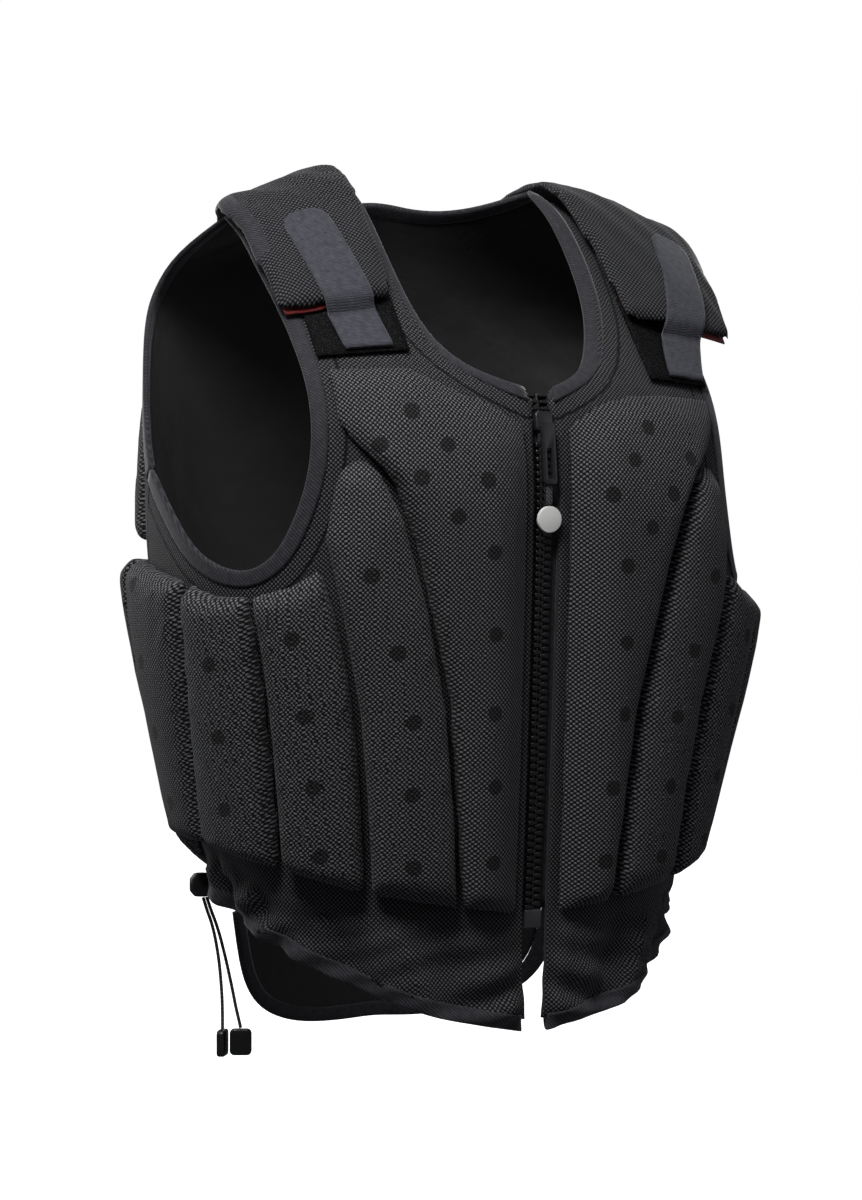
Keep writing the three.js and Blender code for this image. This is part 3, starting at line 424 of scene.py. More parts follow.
# For each cord its place across the plane in which both hang, and its route in that plane: towards the front
# and down, in millimetres from the lock's centre
cord_routes = {
    "front": (-1.7, [
        (1.4, 8), (2.6, 12), (4.2, 17), (6, 22), (7.6, 27.5), (9, 33.5), (10.2, 40), (11.2, 46.5), (12, 53),
        (12.6, 59.5), (13.1, 66), (13.5, 72.5), (13.7, 79), (13.8, 85.5), (13.8, 92),
    ]),
    "back": (1.7, [
        (3.4, 8), (4.7, 12), (6.4, 17), (8.3, 22), (10.2, 27.5), (12, 33.5), (13.7, 40), (15.3, 46.5),
        (16.8, 53), (18.2, 59.5), (19.6, 66), (20.9, 72.5), (22.2, 79), (23.7, 85.5), (25.2, 92),
    ]),
}
moulded_copy("cord_lock", "waist_cord_lock", 0.001, black_plastic)
for name, (across, route) in cord_routes.items():
    end = moulded_copy(f"cord_end_{name}", f"waist_cord_end_{name}", 0.0012, black_plastic)
    places = [lock_place + (towards_front * f + across_plane * across) / 1000 - np.array([0, 0, d / 1000])
              for f, d in route]
    line = bpy.data.curves.new(f"waist_cord_{name}", "CURVE")
    line.dimensions = "3D"
    line.bevel_depth = cord_diameter / 2
    line.bevel_resolution = 3
    line.resolution_u = 6
    line.use_fill_caps = True
    spline = line.splines.new("BEZIER")
    spline.bezier_points.add(len(places) - 1)
    for point, place in zip(spline.bezier_points, places):
        point.co = place
        point.handle_left_type = "AUTO"
        point.handle_right_type = "AUTO"
    cord = bpy.data.objects.new(f"waist_cord_{name}", line)
    bpy.context.scene.collection.objects.link(cord)
    line.materials.append(braided_cord)
    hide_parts(f"drawcord_{name}")
    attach(cord, "root")

# Mesh cloth: warp-knitted polyester spacer mesh, near black, with paler threads that cross 2.8 mm apart, and
# vent holes in the foam behind it, which are not modelled and show as darker rounds of painted shade. Matt,
# with a soft sheen. A sewn line runs beside the bindings of neck and armholes, which leaves a band of mesh
# between them; it is drawn near black, partly its stitching and partly painted shade in its groove. All
# sizes are in millimetres.
thread_pitch = 2.8
band_width = 11.0
vent_radius = 4.7
vent_blur = 0.4


def mesh_cloth_material(name, pale):
    material, tree = new_material(name)
    weave = add_node(tree, "ShaderNodeUVMap", {"uv_map": "weave"}, {})
    drift = add_node(tree, "ShaderNodeTexNoise", {"noise_dimensions": "2D"}, {
        "Vector": weave.outputs[0], "Scale": 0.05, "Detail": 2.0,
    })
    drawn = add_node(tree, "ShaderNodeVectorMath", {"operation": "MULTIPLY_ADD"}, {
        0: drift.outputs["Color"], 1: (1.6, 1.6, 0), 2: weave.outputs[0],
    })
    sides = add_node(tree, "ShaderNodeSeparateXYZ", {}, {0: drawn.outputs[0]})
    waves = []
    for side in (0, 1):
        angle = add_node(tree, "ShaderNodeMath", {"operation": "MULTIPLY"}, {
            0: sides.outputs[side], 1: 2 * math.pi / thread_pitch,
        })
        waves.append(add_node(tree, "ShaderNodeMath", {"operation": "COSINE"}, {0: angle.outputs[0]}))
    crossing = add_node(tree, "ShaderNodeMath", {"operation": "MULTIPLY"}, {
        0: waves[0].outputs[0], 1: waves[1].outputs[0],
    })
    thread = add_node(tree, "ShaderNodeMapRange", {"interpolation_type": "SMOOTHSTEP"}, {
        "Value": crossing.outputs[0], "From Min": -0.2, "From Max": 0.85,
    })
    fuzz = add_node(tree, "ShaderNodeTexNoise", {"noise_dimensions": "2D"}, {
        "Vector": weave.outputs[0], "Scale": 0.9, "Detail": 2.0,
    })
    uneven = add_node(tree, "ShaderNodeMath", {"operation": "MULTIPLY_ADD"}, {
        0: fuzz.outputs["Fac"], 1: 0.7, 2: 0.65,
    })
    lit = add_node(tree, "ShaderNodeMath", {"operation": "MULTIPLY"}, {
        0: thread.outputs[0], 1: uneven.outputs[0],
    })
    vent = add_node(tree, "ShaderNodeAttribute", {"attribute_name": "vent"}, {})
    # Near a vent the threads go darker and the gaps black: painted shade of the hole behind, which is not
    # modelled.
    clear_of_painted_vent_shade = add_node(tree, "ShaderNodeMapRange", {"interpolation_type": "SMOOTHSTEP"}, {
        "Value": vent.outputs["Fac"], "From Min": vent_radius - vent_blur, "From Max": vent_radius + vent_blur,
    })
    gap_colour_with_vent_shade = add_node(tree, "ShaderNodeMix", {"data_type": "RGBA"}, {
        "Factor": clear_of_painted_vent_shade.outputs[0], 6: linear("000000"), 7: linear("040405"),
    })
    thread_colour_with_vent_shade = add_node(tree, "ShaderNodeMix", {"data_type": "RGBA"}, {
        "Factor": clear_of_painted_vent_shade.outputs[0], 6: linear("3a3a3c"), 7: linear(pale),
    })
    colour = add_node(tree, "ShaderNodeMix", {"data_type": "RGBA"}, {
        "Factor": lit.outputs[0], 6: gap_colour_with_vent_shade.outputs[2], 7: thread_colour_with_vent_shade.outputs[2],
    })
    rim = add_node(tree, "ShaderNodeAttribute", {"attribute_name": "rim"}, {})
    from_seam = add_node(tree, "ShaderNodeMath", {"operation": "SUBTRACT"}, {
        0: rim.outputs["Fac"], 1: band_width,
    })
    beside_seam = add_node(tree, "ShaderNodeMath", {"operation": "ABSOLUTE"}, {0: from_seam.outputs[0]})
    clear_of_seam_shade = add_node(tree, "ShaderNodeMapRange", {"interpolation_type": "SMOOTHSTEP"}, {
        "Value": beside_seam.outputs[0], "From Min": 0.3, "From Max": 1.6,
    })
    # The seam line is near black: partly its stitching and partly painted shade in its groove.
    sewn_line_and_groove_shade = add_node(tree, "ShaderNodeMix", {"data_type": "RGBA"}, {
        "Factor": clear_of_seam_shade.outputs[0], 6: linear("060607"), 7: colour.outputs[2],
    })
    groove = add_node(tree, "ShaderNodeMath", {"operation": "MULTIPLY_ADD"}, {
        0: clear_of_seam_shade.outputs[0], 1: 3.0, 2: lit.outputs[0],
    })
    relief = add_node(tree, "ShaderNodeBump", {}, {
        "Strength": 0.5, "Distance": 0.0004, "Height": groove.outputs[0],
    })
    cloth = add_node(tree, "ShaderNodeBsdfPrincipled", {}, {
        "Base Color": sewn_line_and_groove_shade.outputs[2], "Roughness": 0.8, "Specular IOR Level": 0.2, "Sheen Weight": 0.06,
        "Sheen Roughness": 0.5, "Normal": relief.outputs[0],
    })
    add_node(tree, "ShaderNodeOutputMaterial", {}, {"Surface": cloth.outputs[0]})
    return material


mesh_cloth = mesh_cloth_material("spacer mesh, warp-knitted polyester", "727276")
# The shells' copy has darker threads: painted shade, as for the skirt in the shadow of the pads.
shell_cloth_painted_darker = mesh_cloth_material("spacer mesh over felt, warp-knitted polyester", "5e5e62")
# The flaps' copy is the same mesh cloth with still darker threads: painted shade.
flap_cloth_painted_darker = mesh_cloth_material("open mesh, warp-knitted polyester", "56565b")


# Lining: plain woven nylon, black, which hangs a little slack inside and shows faint creases.
def lining_material():
    material, tree = new_material("lining, plain woven nylon")
    weave = add_node(tree, "ShaderNodeUVMap", {"uv_map": "weave"}, {})
    crease = add_node(tree, "ShaderNodeTexNoise", {"noise_dimensions": "2D"}, {
        "Vector": weave.outputs[0], "Scale": 0.018, "Detail": 3.0, "Roughness": 0.45,
    })
    grain = add_node(tree, "ShaderNodeTexNoise", {"noise_dimensions": "2D"}, {
        "Vector": weave.outputs[0], "Scale": 0.8, "Detail": 2.0,
    })
    shade = add_node(tree, "ShaderNodeMix", {"data_type": "RGBA"}, {
        "Factor": grain.outputs["Fac"], 6: linear("0a0a0c"), 7: linear("161619"),
    })
    slack = add_node(tree, "ShaderNodeBump", {}, {
        "Strength": 0.6, "Distance": 0.006, "Height": crease.outputs["Fac"],
    })
    cloth = add_node(tree, "ShaderNodeBsdfPrincipled", {}, {
        "Base Color": shade.outputs[2], "Roughness": 0.7, "Sheen Weight": 0.1, "Normal": slack.outputs[0],
    })
    add_node(tree, "ShaderNodeOutputMaterial", {}, {"Surface": cloth.outputs[0]})
    return material


lining = lining_material()


# Knitted tape: polyester binding tape, charcoal with a purple cast, folded round every edge. Its fine ribs
# are 1.2 mm apart, drawn a little coarser than real so that they show.
def tape_material(name, dark, pale, rib, direction="DIAGONAL"):
    material, tree = new_material(name)
    weave = add_node(tree, "ShaderNodeUVMap", {"uv_map": "weave"}, {})
    ribs = add_node(tree, "ShaderNodeTexWave", {"bands_direction": direction}, {
        "Vector": weave.outputs[0], "Scale": 1 / rib / 3.2, "Distortion": 1.5, "Detail": 2.0,
        "Detail Scale": 2.0,
    })
    fuzz = add_node(tree, "ShaderNodeTexNoise", {"noise_dimensions": "2D"}, {
        "Vector": weave.outputs[0], "Scale": 0.25, "Detail": 4.0,
    })
    mixed = add_node(tree, "ShaderNodeMath", {"operation": "MULTIPLY"}, {
        0: ribs.outputs["Fac"], 1: fuzz.outputs["Fac"],
    })
    shade = add_node(tree, "ShaderNodeMapRange", {}, {"Value": mixed.outputs[0], "From Max": 0.7})
    colour = add_node(tree, "ShaderNodeMix", {"data_type": "RGBA"}, {
        "Factor": shade.outputs[0], 6: linear(dark), 7: linear(pale),
    })
    relief = add_node(tree, "ShaderNodeBump", {}, {
        "Strength": 0.5, "Distance": 0.0003, "Height": mixed.outputs[0],
    })
    cloth = add_node(tree, "ShaderNodeBsdfPrincipled", {}, {
        "Base Color": colour.outputs[2], "Roughness": 0.85, "Sheen Weight": 0.25, "Sheen Roughness": 0.4,
        "Normal": relief.outputs[0],
    })
    add_node(tree, "ShaderNodeOutputMaterial", {}, {"Surface": cloth.outputs[0]})
    return material


knitted_tape = tape_material("binding tape, knitted polyester", "0e0e11", "3c3b44", 1.2)


def crease(piece, angle):
    """Keeps the edges sharper than this many degrees when the piece is subdivided."""
    only(piece)
    bpy.ops.object.mode_set(mode="EDIT")
    bpy.ops.mesh.select_mode(type="EDGE")
    bpy.ops.mesh.edges_select_sharp(sharpness=math.radians(angle))
    bpy.ops.transform.edge_crease(value=1)
    bpy.ops.mesh.select_all(action="DESELECT")
    bpy.ops.object.mode_set(mode="OBJECT")


# The skirt below the pads is soft: its folds are deeper in the cloth than in the plain solids, with small
# gathers between them. Each row is a fold: turn, lean over the whole cloth, width in degrees and depth in mm.
skirt_rows = [
    (4, 30, 2.2, 2), (13, 60, 3, -3), (19, 75, 2, 2.5), (30, 80, 3, -3.5), (44, 100, 3, -2.5),
    (56, 100, 3, 3), (62, 120, 2, -2.5), (73, 90, 3, 3), (90, 60, 3, -3),
]
# Wrinkles that run down towards the zip: wave length in mm, millimetres of fall for each degree, depth in mm
# and start
wrinkle_rows = [(23, -0.9, 2.4, 0.4), (15, -0.4, 1.3, 2.1), (34, -1.6, 1.8, 4.0)]
# The tail spreads this much further to the wearer's left than the plain solid.
tail_spread = 0.022


def drape(piece):
    """Lets the skirt's part of the piece fall into its deeper folds."""
    points = points_of(piece)
    across, up, turn, along = cloth_place(points)
    knot = np.searchsorted(net_turns, turn)
    round_step = (net_round[np.clip(knot + 1, 0, len(net_turns) - 1)] - net_round[knot - 1]).mean(1)
    turn_step = 2 * (net_turns[1] - net_turns[0])
    past_knot = turn_step * (across - net_round[knot].mean(1)) / round_step
    turns = turn + past_knot * (np.abs(turn) < 176)
    away = np.abs(turns)
    below = smooth_step(-0.008, -0.035, along - np.interp(away, pad_hem[:, 0], pad_hem[:, 1]))
    gathers = sum(d * np.exp(-((away - at - lean * along) / w) ** 2) for at, lean, w, d in skirt_rows)
    fall = 1000 * cloth_length * along
    for length, lean, depth, start in wrinkle_rows:
        phase = (fall - lean * away + 5 * np.sin(away / 7 + start)) * 2 * math.pi / length + start
        gathers = gathers + depth * np.sin(phase) * (0.5 + 0.5 * np.sin(away / 9 + 2 * start))
    gathered = 0.001 * below * gathers * smooth_step(1, 6, away)
    deeper = fold_at(turns, along) * 0.9 + np.where(away > 112, 0, gathered)
    normal = skin(turns, along, 1.0) - skin(turns, along, 0.0)
    points = points + normal * deeper[:, None]
    if "tail" in piece.name:
        points[:, 0] += tail_spread * smooth_step(0.04, 0.11, points[:, 0])
    piece.data.vertices.foreach_set("co", points.ravel())


end_gap = 0.0012


def meet(first, second):
    """Brings the facing ends of two pieces together, where they are less than a gap apart."""
    places = [points_of(first), points_of(second)]
    for piece, own, other in ((first, places[0], places[1]), (second, places[1], places[0])):
        tree = KDTree(len(other))
        for place in other:
            tree.insert(place, 0)
        tree.balance()
        found = [tree.find(place) for place in own]
        ends = np.array([(np.array(near) + place) / 2 if away < end_gap else place
                         for place, (near, _, away) in zip(own, found)])
        piece.data.vertices.foreach_set("co", ends.ravel())


# Bindings: knitted tape folded over each raw edge and sewn through, 10 mm deep and rounded at the rim.
binding_nodes = {
    "hem_binding_front": "front_hem_tape", "hem_binding_back": "back_hem_tape",
    "neck_binding_front": "front_neck_tape", "armhole_binding_front": "front_armhole_tape",
    "armhole_binding_back": "back_armhole_tape",
}
bindings = []
for node, name in binding_nodes.items():
    for side in ("right", "left"):
        bindings.append(soft_copy(f"{node}_{side}", f"{name}_{side}"))
bindings.append(soft_copy("neck_binding_back", "back_neck_tape"))
bindings.append(soft_copy("tail_binding", "tail_tape"))
for side in (0, 1):
    meet(bindings[side], bindings[2 + side])
    meet(bindings[6 + side], bindings[8 + side])
for tape in bindings:
    crease(tape, 75)
    finish_modifier(tape, "SUBSURF", levels=2, render_levels=2)
    tape.data.materials.append(knitted_tape)
    drape(tape)
    lay_weave(tape)
    smooth_all(tape)

# Shells: the layers that carry the pads, quilted from mesh cloth, felt and lining. Two fronts meet at the
# zip, one back crosses the spine, and a longer tail hangs under it. The outside is mesh cloth, the inside is
# lining, and the raw edges run on under the tapes.
body_tapes = [tape for tape in bindings if "hem" not in tape.name and "tail" not in tape.name]


def tree_of(pieces):
    tree = KDTree(sum(len(piece.data.vertices) for piece in pieces))
    for piece in pieces:
        for place in points_of(piece):
            tree.insert(place, 0)
    tree.balance()
    return tree


tape_tree = tree_of(bindings)
body_tape_tree = tree_of(body_tapes)
edge_width = 0.0036
tape_reach = 0.003
tuck_depth = 0.004


def tuck_under(shell):
    """Runs the shell's raw edge on under the tape that binds it."""
    mesh = shell.data
    moves = {}
    for face in mesh.polygons:
        corners = [mesh.vertices[k].co for k in face.vertices]
        sides = [(corners[k] - corners[k - 1]).length for k in range(len(corners))]
        if min(sides) > edge_width:
            continue
        for k in face.vertices:
            moves.setdefault(k, []).append(face.normal.copy())
    for k, directions in moves.items():
        place = mesh.vertices[k].co
        if tape_tree.find(place)[2] < tape_reach:
            mesh.vertices[k].co = place + sum(directions, Vector()).normalized() * tuck_depth


def outward_at(points):
    """Level direction out of the garment, leaning upwards on the shoulders."""
    out = points - np.array([0, 0.01, 0])
    out[:, 2] = 4 * np.maximum(0, points[:, 2] + 0.16) * np.hypot(out[:, 0], out[:, 1])
    return out / np.linalg.norm(out, axis=1)[:, None]


def store(piece, name, values):
    """Keeps a number for each point of the piece, for its material to read."""
    attribute = piece.data.attributes.new(name, "FLOAT", "POINT")
    attribute.data.foreach_set("value", values)


far_from_vent = 20.0


def cloth_shell(shell):
    tuck_under(shell)
    crease(shell, 50)
    finish_modifier(shell, "SUBSURF", levels=3, render_levels=3)
    drape(shell)
    shell.data.materials.append(shell_cloth_painted_darker)
    shell.data.materials.append(lining)
    lay_weave(shell)
    middles = np.array([face.center[:] for face in shell.data.polygons])
    facings = np.array([face.normal[:] for face in shell.data.polygons])
    inside = (facings * outward_at(middles)).sum(1) <= 0
    shell.data.polygons.foreach_set("material_index", inside.astype(np.int32))
    points = points_of(shell)
    store(shell, "vent", np.full(len(points), far_from_vent))
    store(shell, "rim", np.array([1000 * body_tape_tree.find(place)[2] for place in points]))
    smooth_all(shell)


shell_names = {
    "shell_front_right": "front_shell_right", "shell_front_left": "front_shell_left",
    "shell_back": "back_shell", "shell_tail": "tail_shell",
}
shells = {node: soft_copy(node, name) for node, name in shell_names.items()}
meet(shells["shell_front_right"], shells["shell_back"])
meet(shells["shell_front_left"], shells["shell_back"])
for shell in shells.values():
    cloth_shell(shell)

# Vent holes in the foam, as turn and rise up the cloth in millimetres, pad by pad on the wearer's right. The
# left chest has its own, and the other left pads and the back repeat the same spacing.
vents_right = [
    (-25.8, 369), (-31.5, 351), (-20.4, 351), (-25.2, 333), (-13.8, 332), (-19.2, 311), (-12.9, 291),
    (-12.6, 242), (-12.9, 195), (-12.9, 153), (-13.2, 109), (-33.3, 277), (-29.7, 233), (-27.9, 191),
    (-28.8, 150), (-29.4, 108), (-47.1, 241), (-46.5, 196), (-46.5, 155), (-47.1, 115), (-64.9, 228),
    (-66.1, 184), (-68.5, 141),
]
vents_left = [
    (19.8, 363), (15.6, 345), (27.9, 347), (10.8, 325), (23.1, 326), (18.3, 306), (13.5, 283), (14.1, 237),
    (15, 193), (14.1, 150), (14.1, 107), (33.3, 277), (29.7, 233), (27.9, 191), (28.8, 150), (29.4, 108),
    (47.1, 241), (46.5, 196), (46.5, 155), (47.1, 115), (64.9, 228), (66.1, 184), (68.5, 141),
]
back_turns = [96, 122, 148]
back_rises = [141, 184, 228, 272]
blade_rises = [318, 362, 406]
spine_rises = range(100, 401, 50)
vents_back = [(side * turn, rise) for side in (-1, 1) for turn in back_turns for rise in back_rises]
vents_back += [(side * back_turns[-1], rise) for side in (-1, 1) for rise in blade_rises]
vents_back += [(turn, rise) for turn in (-180, 180) for rise in spine_rises]
vents = np.array(vents_right + vents_left + vents_back)
vent_places = skin(vents[:, 0], vents[:, 1] / (cloth_length * 1000), shell_wall)
vent_round, vent_up = cloth_place(vent_places)[:2]


def from_vents(across, up):
    """Each point's distance from the nearest vent, in millimetres."""
    apart = np.full(len(across), far_from_vent)
    for a, b in zip(vent_round, vent_up):
        apart = np.minimum(apart, 1000 * np.hypot(across - a, up - b))
    return apart


# Pads: blocks of closed-cell foam under the mesh cloth, parted by sewn channels. Each starts as its plain
# block and is filled out like a cushion, held at its back, so that its face crowns and its edges roll into
# the seams.
pad_nodes = {
    "pad_chest": "chest_pad", "pad_rib": "rib_pad", "pad_flank": "flank_pad", "pad_side": "side_pad",
    "pad_wing": "wing_pad", "pad_back_side": "back_side_pad", "pad_back_waist": "waist_pad",
    "pad_blade": "blade_pad",
}
pad_voxel = 0.004
pad_give = 0.0015
fill_pressure = 3.0
fill_steps = 20
far_from_tape = 50.0


def filled(piece, voxel, give):
    """Remeshes the piece and swells its face by cloth simulation. Its back is held and no point moves far."""
    finish_modifier(piece, "REMESH", mode="VOXEL", voxel_size=voxel, use_smooth_shade=True)
    before = points_of(piece)
    facing = (normals_of(piece) * outward_at(before)).sum(1)
    held = piece.vertex_groups.new(name="held")
    for index in np.nonzero(facing < 0.3)[0]:
        held.add([int(index)], 1.0, "REPLACE")
    cloth = piece.modifiers.new("cloth", "CLOTH")
    cloth.settings.use_pressure = True
    cloth.settings.uniform_pressure_force = fill_pressure
    cloth.settings.vertex_group_mass = "held"
    cloth.settings.quality = 4
    cloth.settings.tension_stiffness = 12
    cloth.settings.compression_stiffness = 12
    cloth.settings.effector_weights.gravity = 0
    cloth.collision_settings.use_collision = False
    cloth.point_cache.frame_start = 1
    cloth.point_cache.frame_end = fill_steps
    for step in range(1, fill_steps + 1):
        bpy.context.scene.frame_set(step)
    only(piece)
    bpy.ops.object.modifier_apply(modifier="cloth")
    bpy.context.scene.frame_set(1)
    moved = points_of(piece) - before
    length = np.linalg.norm(moved, axis=1)
    moved *= np.minimum(1, give / np.maximum(length, 1e-9))[:, None]
    piece.data.vertices.foreach_set("co", (before + moved).ravel())
    piece.vertex_groups.clear()


lane_lift = 0.0045
lane_opening = 0.0045
lane_share = 0.22
tape_share = 0.45


def taper(pad):
    """Thins the pad down to the zip's lane and towards the tapes of neck and armholes."""
    points = points_of(pad)
    turn, along = cloth_place(points)[2:]
    away = np.abs(points[:, 0])
    floor = body_point(turn, along)
    normal = skin(turn, along, 1.0) - skin(turn, along, 0.0)
    lift = ((points - floor) * normal).sum(1) - lane_lift
    share = lane_share + (1 - lane_share) * smooth_step(0.006, 0.045, away)
    from_tape = np.array([body_tape_tree.find(place)[2] for place in points])
    share *= tape_share + (1 - tape_share) * smooth_step(0.01, 0.045, from_tape)
    points -= normal * (np.maximum(lift, 0) * (1 - share))[:, None]
    points[:, 0] += np.sign(points[:, 0]) * lane_opening * smooth_step(0.03, 0.012, away)
    pad.data.vertices.foreach_set("co", points.ravel())


def make_pad(node, name):
    pad = soft_copy(node, name)
    filled(pad, pad_voxel, pad_give)
    if "chest" in name or "rib" in name:
        taper(pad)
    finish_modifier(pad, "SMOOTH", factor=0.5, iterations=1)
    finish_modifier(pad, "SUBSURF", levels=1, render_levels=1)
    pad.data.materials.append(mesh_cloth)
    across, up = lay_weave(pad)
    store(pad, "vent", from_vents(across, up))
    store(pad, "rim", np.full(len(across), far_from_tape))
    smooth_all(pad)


for node, name in pad_nodes.items():
    for side in ("right", "left"):
        make_pad(f"{node}_{side}", f"{name}_{side}")
make_pad("pad_spine", "spine_pad")
make_pad("pad_tail", "tail_pad")

# Shoulder flaps: thin padded flaps of the same mesh cloth, sewn to the back and folded forward over the ridge.
# The left one stands off the shoulder more than the right one, with what is fastened to it.
flap_loft = 0.008


def loft(points):
    """Raises what lies on the left shoulder in front of the ridge."""
    outwards = smooth_step(0.075, 0.125, points[:, 0])
    front = smooth_step(-0.105, -0.06, points[:, 1]) * smooth_step(0.06, 0.0, points[:, 1])
    return points + outward_at(points) * (flap_loft * outwards * front * (points[:, 2] > -0.16))[:, None]


# The line on which the flaps lie, over the shoulder from the front down the back
flap_lift = 0.014
flap_line = np.vstack([
    skin(36, np.linspace(0.6, 1, 40), flap_lift), skin(144, np.linspace(1, 0.75, 60)[1:], flap_lift),
])
flap_way = np.append(0, np.cumsum(np.linalg.norm(np.diff(flap_line[:, 1:], axis=0), axis=1)))
flap_tree = KDTree(len(flap_line))
for knot, place in enumerate(flap_line):
    flap_tree.insert((0, place[1], place[2]), knot)
flap_tree.balance()


def flap_place(points):
    """Distance across the flap and over the shoulder, in metres."""
    found = np.clip([flap_tree.find((0, p[1], p[2]))[1] for p in points], 1, len(flap_line) - 2)
    way = flap_line[found + 1, 1:] - flap_line[found - 1, 1:]
    way /= np.linalg.norm(way, axis=1)[:, None]
    along = flap_way[found] + ((points[:, 1:] - flap_line[found, 1:]) * way).sum(1)
    return points[:, 0], along, np.zeros(len(points))


flap_voxel = 0.0035
flap_give = 0.002
flap_wave = 0.0012
flap_draw = {"right": 0.022, "left": 0.006}
flap_tape = 0.009
flap_bands = 61
for side in ("right", "left"):
    flap = soft_copy(f"shoulder_flap_{side}", f"shoulder_pad_flap_{side}")
    filled(flap, flap_voxel, flap_give)
    finish_modifier(flap, "SMOOTH", factor=0.5, iterations=2)
    points = points_of(flap)
    waves = np.sin(points[:, 0] * 170 + points[:, 1] * 60) * np.sin(points[:, 1] * 120 + points[:, 0] * 50)
    outward = (normals_of(flap) * outward_at(points)).sum(1) > 0
    behind = smooth_step(0.0, 0.075, points[:, 1]) * smooth_step(0.09, 0.15, np.abs(points[:, 0]))
    points[:, 0] -= np.sign(points[:, 0]) * flap_draw[side] * behind
    points = loft(points)
    points += normals_of(flap) * (flap_wave * waves * outward)[:, None]
    flap.data.vertices.foreach_set("co", points.ravel())
    finish_modifier(flap, "SMOOTH", factor=0.5, iterations=3)
    finish_modifier(flap, "SUBSURF", levels=1, render_levels=1)
    flap.data.materials.append(flap_cloth_painted_darker)
    flap.data.materials.append(knitted_tape)
    lay_weave(flap, flap_place)
    store(flap, "vent", np.full(len(flap.data.vertices), far_from_vent))
    store(flap, "rim", np.full(len(flap.data.vertices), far_from_tape))
    middles = np.array([face.center[:] for face in flap.data.polygons])
    over = flap_place(middles)[1]
    band = np.clip((over * 100).astype(int), 0, flap_bands - 1)
    outer = np.array([np.abs(middles[band == k, 0]).max(initial=0) for k in range(flap_bands)])
    taped = (outer[band] - np.abs(middles[:, 0]) < flap_tape) & (middles[:, 1] > -0.045)
    flap.data.polygons.foreach_set("material_index", taped.astype(np.int32))
    smooth_all(flap)

# Flap facings: plain woven red nylon on the underside of each flap. Only a thin line of it peeps out in
# front, away from the neck.
red_facing = tape_material("facing, plain woven nylon, red", "4a0b0e", "8c1a1f", 0.6)
for side in ("right", "left"):
    facing = soft_copy(f"flap_facing_{side}", f"red_facing_{side}")
    crease(facing, 50)
    finish_modifier(facing, "SUBSURF", levels=2, render_levels=2)
    points = points_of(facing)
    away = np.abs(points[:, 0])
    across = (away - away.min()) / (away.max() - away.min())
    inwards = smooth_step(0.7, 0.45, across)
    front = smooth_step(points[:, 1].min() + 0.015, points[:, 1].min(), points[:, 1])
    points[:, 2] += 0.006 * inwards * front
    points[:, 1] += 0.003 * inwards * front
    corner = smooth_step(0.85, 1.0, across) * front
    points[:, 0] *= 1 - 0.1 * corner
    points[:, 2] += 0.008 * corner
    points = loft(points)
    facing.data.vertices.foreach_set("co", points.ravel())
    facing.data.materials.append(red_facing)
    lay_weave(facing)
    smooth_all(facing)


# Hook patches: black nylon hook tape sewn to the chest, on which the tabs close. Its hooks make it rough and
# dull, with short glints on them painted as bright specks; they are drawn 0.9 mm apart.
def hook_material():
    material, tree = new_material("hook tape, nylon, black")
    weave = add_node(tree, "ShaderNodeUVMap", {"uv_map": "weave"}, {})
    hooks = add_node(tree, "ShaderNodeTexVoronoi", {"feature": "F1"}, {
        "Vector": weave.outputs[0], "Scale": 1.1,
    })
    painted_hook_glint = add_node(tree, "ShaderNodeMapRange", {}, {
        "Value": hooks.outputs["Distance"], "From Min": 0.35, "From Max": 0.05,
    })
    # The bright specks are painted glints on the black hooks.
    colour = add_node(tree, "ShaderNodeMix", {"data_type": "RGBA"}, {
        "Factor": painted_hook_glint.outputs[0], 6: linear("030304"), 7: linear("4a4a4e"),
    })
    relief = add_node(tree, "ShaderNodeBump", {}, {
        "Strength": 0.8, "Distance": 0.0005, "Height": painted_hook_glint.outputs[0],
    })
    cloth = add_node(tree, "ShaderNodeBsdfPrincipled", {}, {
        "Base Color": colour.outputs[2], "Roughness": 0.85, "Specular IOR Level": 0.15,
        "Normal": relief.outputs[0],
    })
    add_node(tree, "ShaderNodeOutputMaterial", {}, {"Surface": cloth.outputs[0]})
    return material


hook_tape = hook_material()
for side in ("right", "left"):
    patch = soft_copy(f"hook_patch_{side}", f"hook_tape_{side}")
    crease(patch, 50)
    finish_modifier(patch, "SUBSURF", levels=2, render_levels=2)
    patch.data.materials.append(hook_tape)
    lay_weave(patch)
    smooth_all(patch)

# Shoulder tabs: blue-grey loop strap with a fine cross rib, sewn to the flap near its rounded upper end. It
# crosses the flap's free edge and closes down on the hook patch.
loop_strap = tape_material("loop strap, brushed nylon", "22232a", "54555f", 1.1, "Y")
for side in ("right", "left"):
    tab = soft_copy(f"shoulder_tab_{side}", f"loop_strap_{side}")
    crease(tab, 50)
    finish_modifier(tab, "SUBSURF", levels=3, render_levels=3)
    tab.data.vertices.foreach_set("co", loft(points_of(tab)).ravel())
    tab.data.materials.append(loop_strap)
    lay_weave(tab)
    smooth_all(tab)

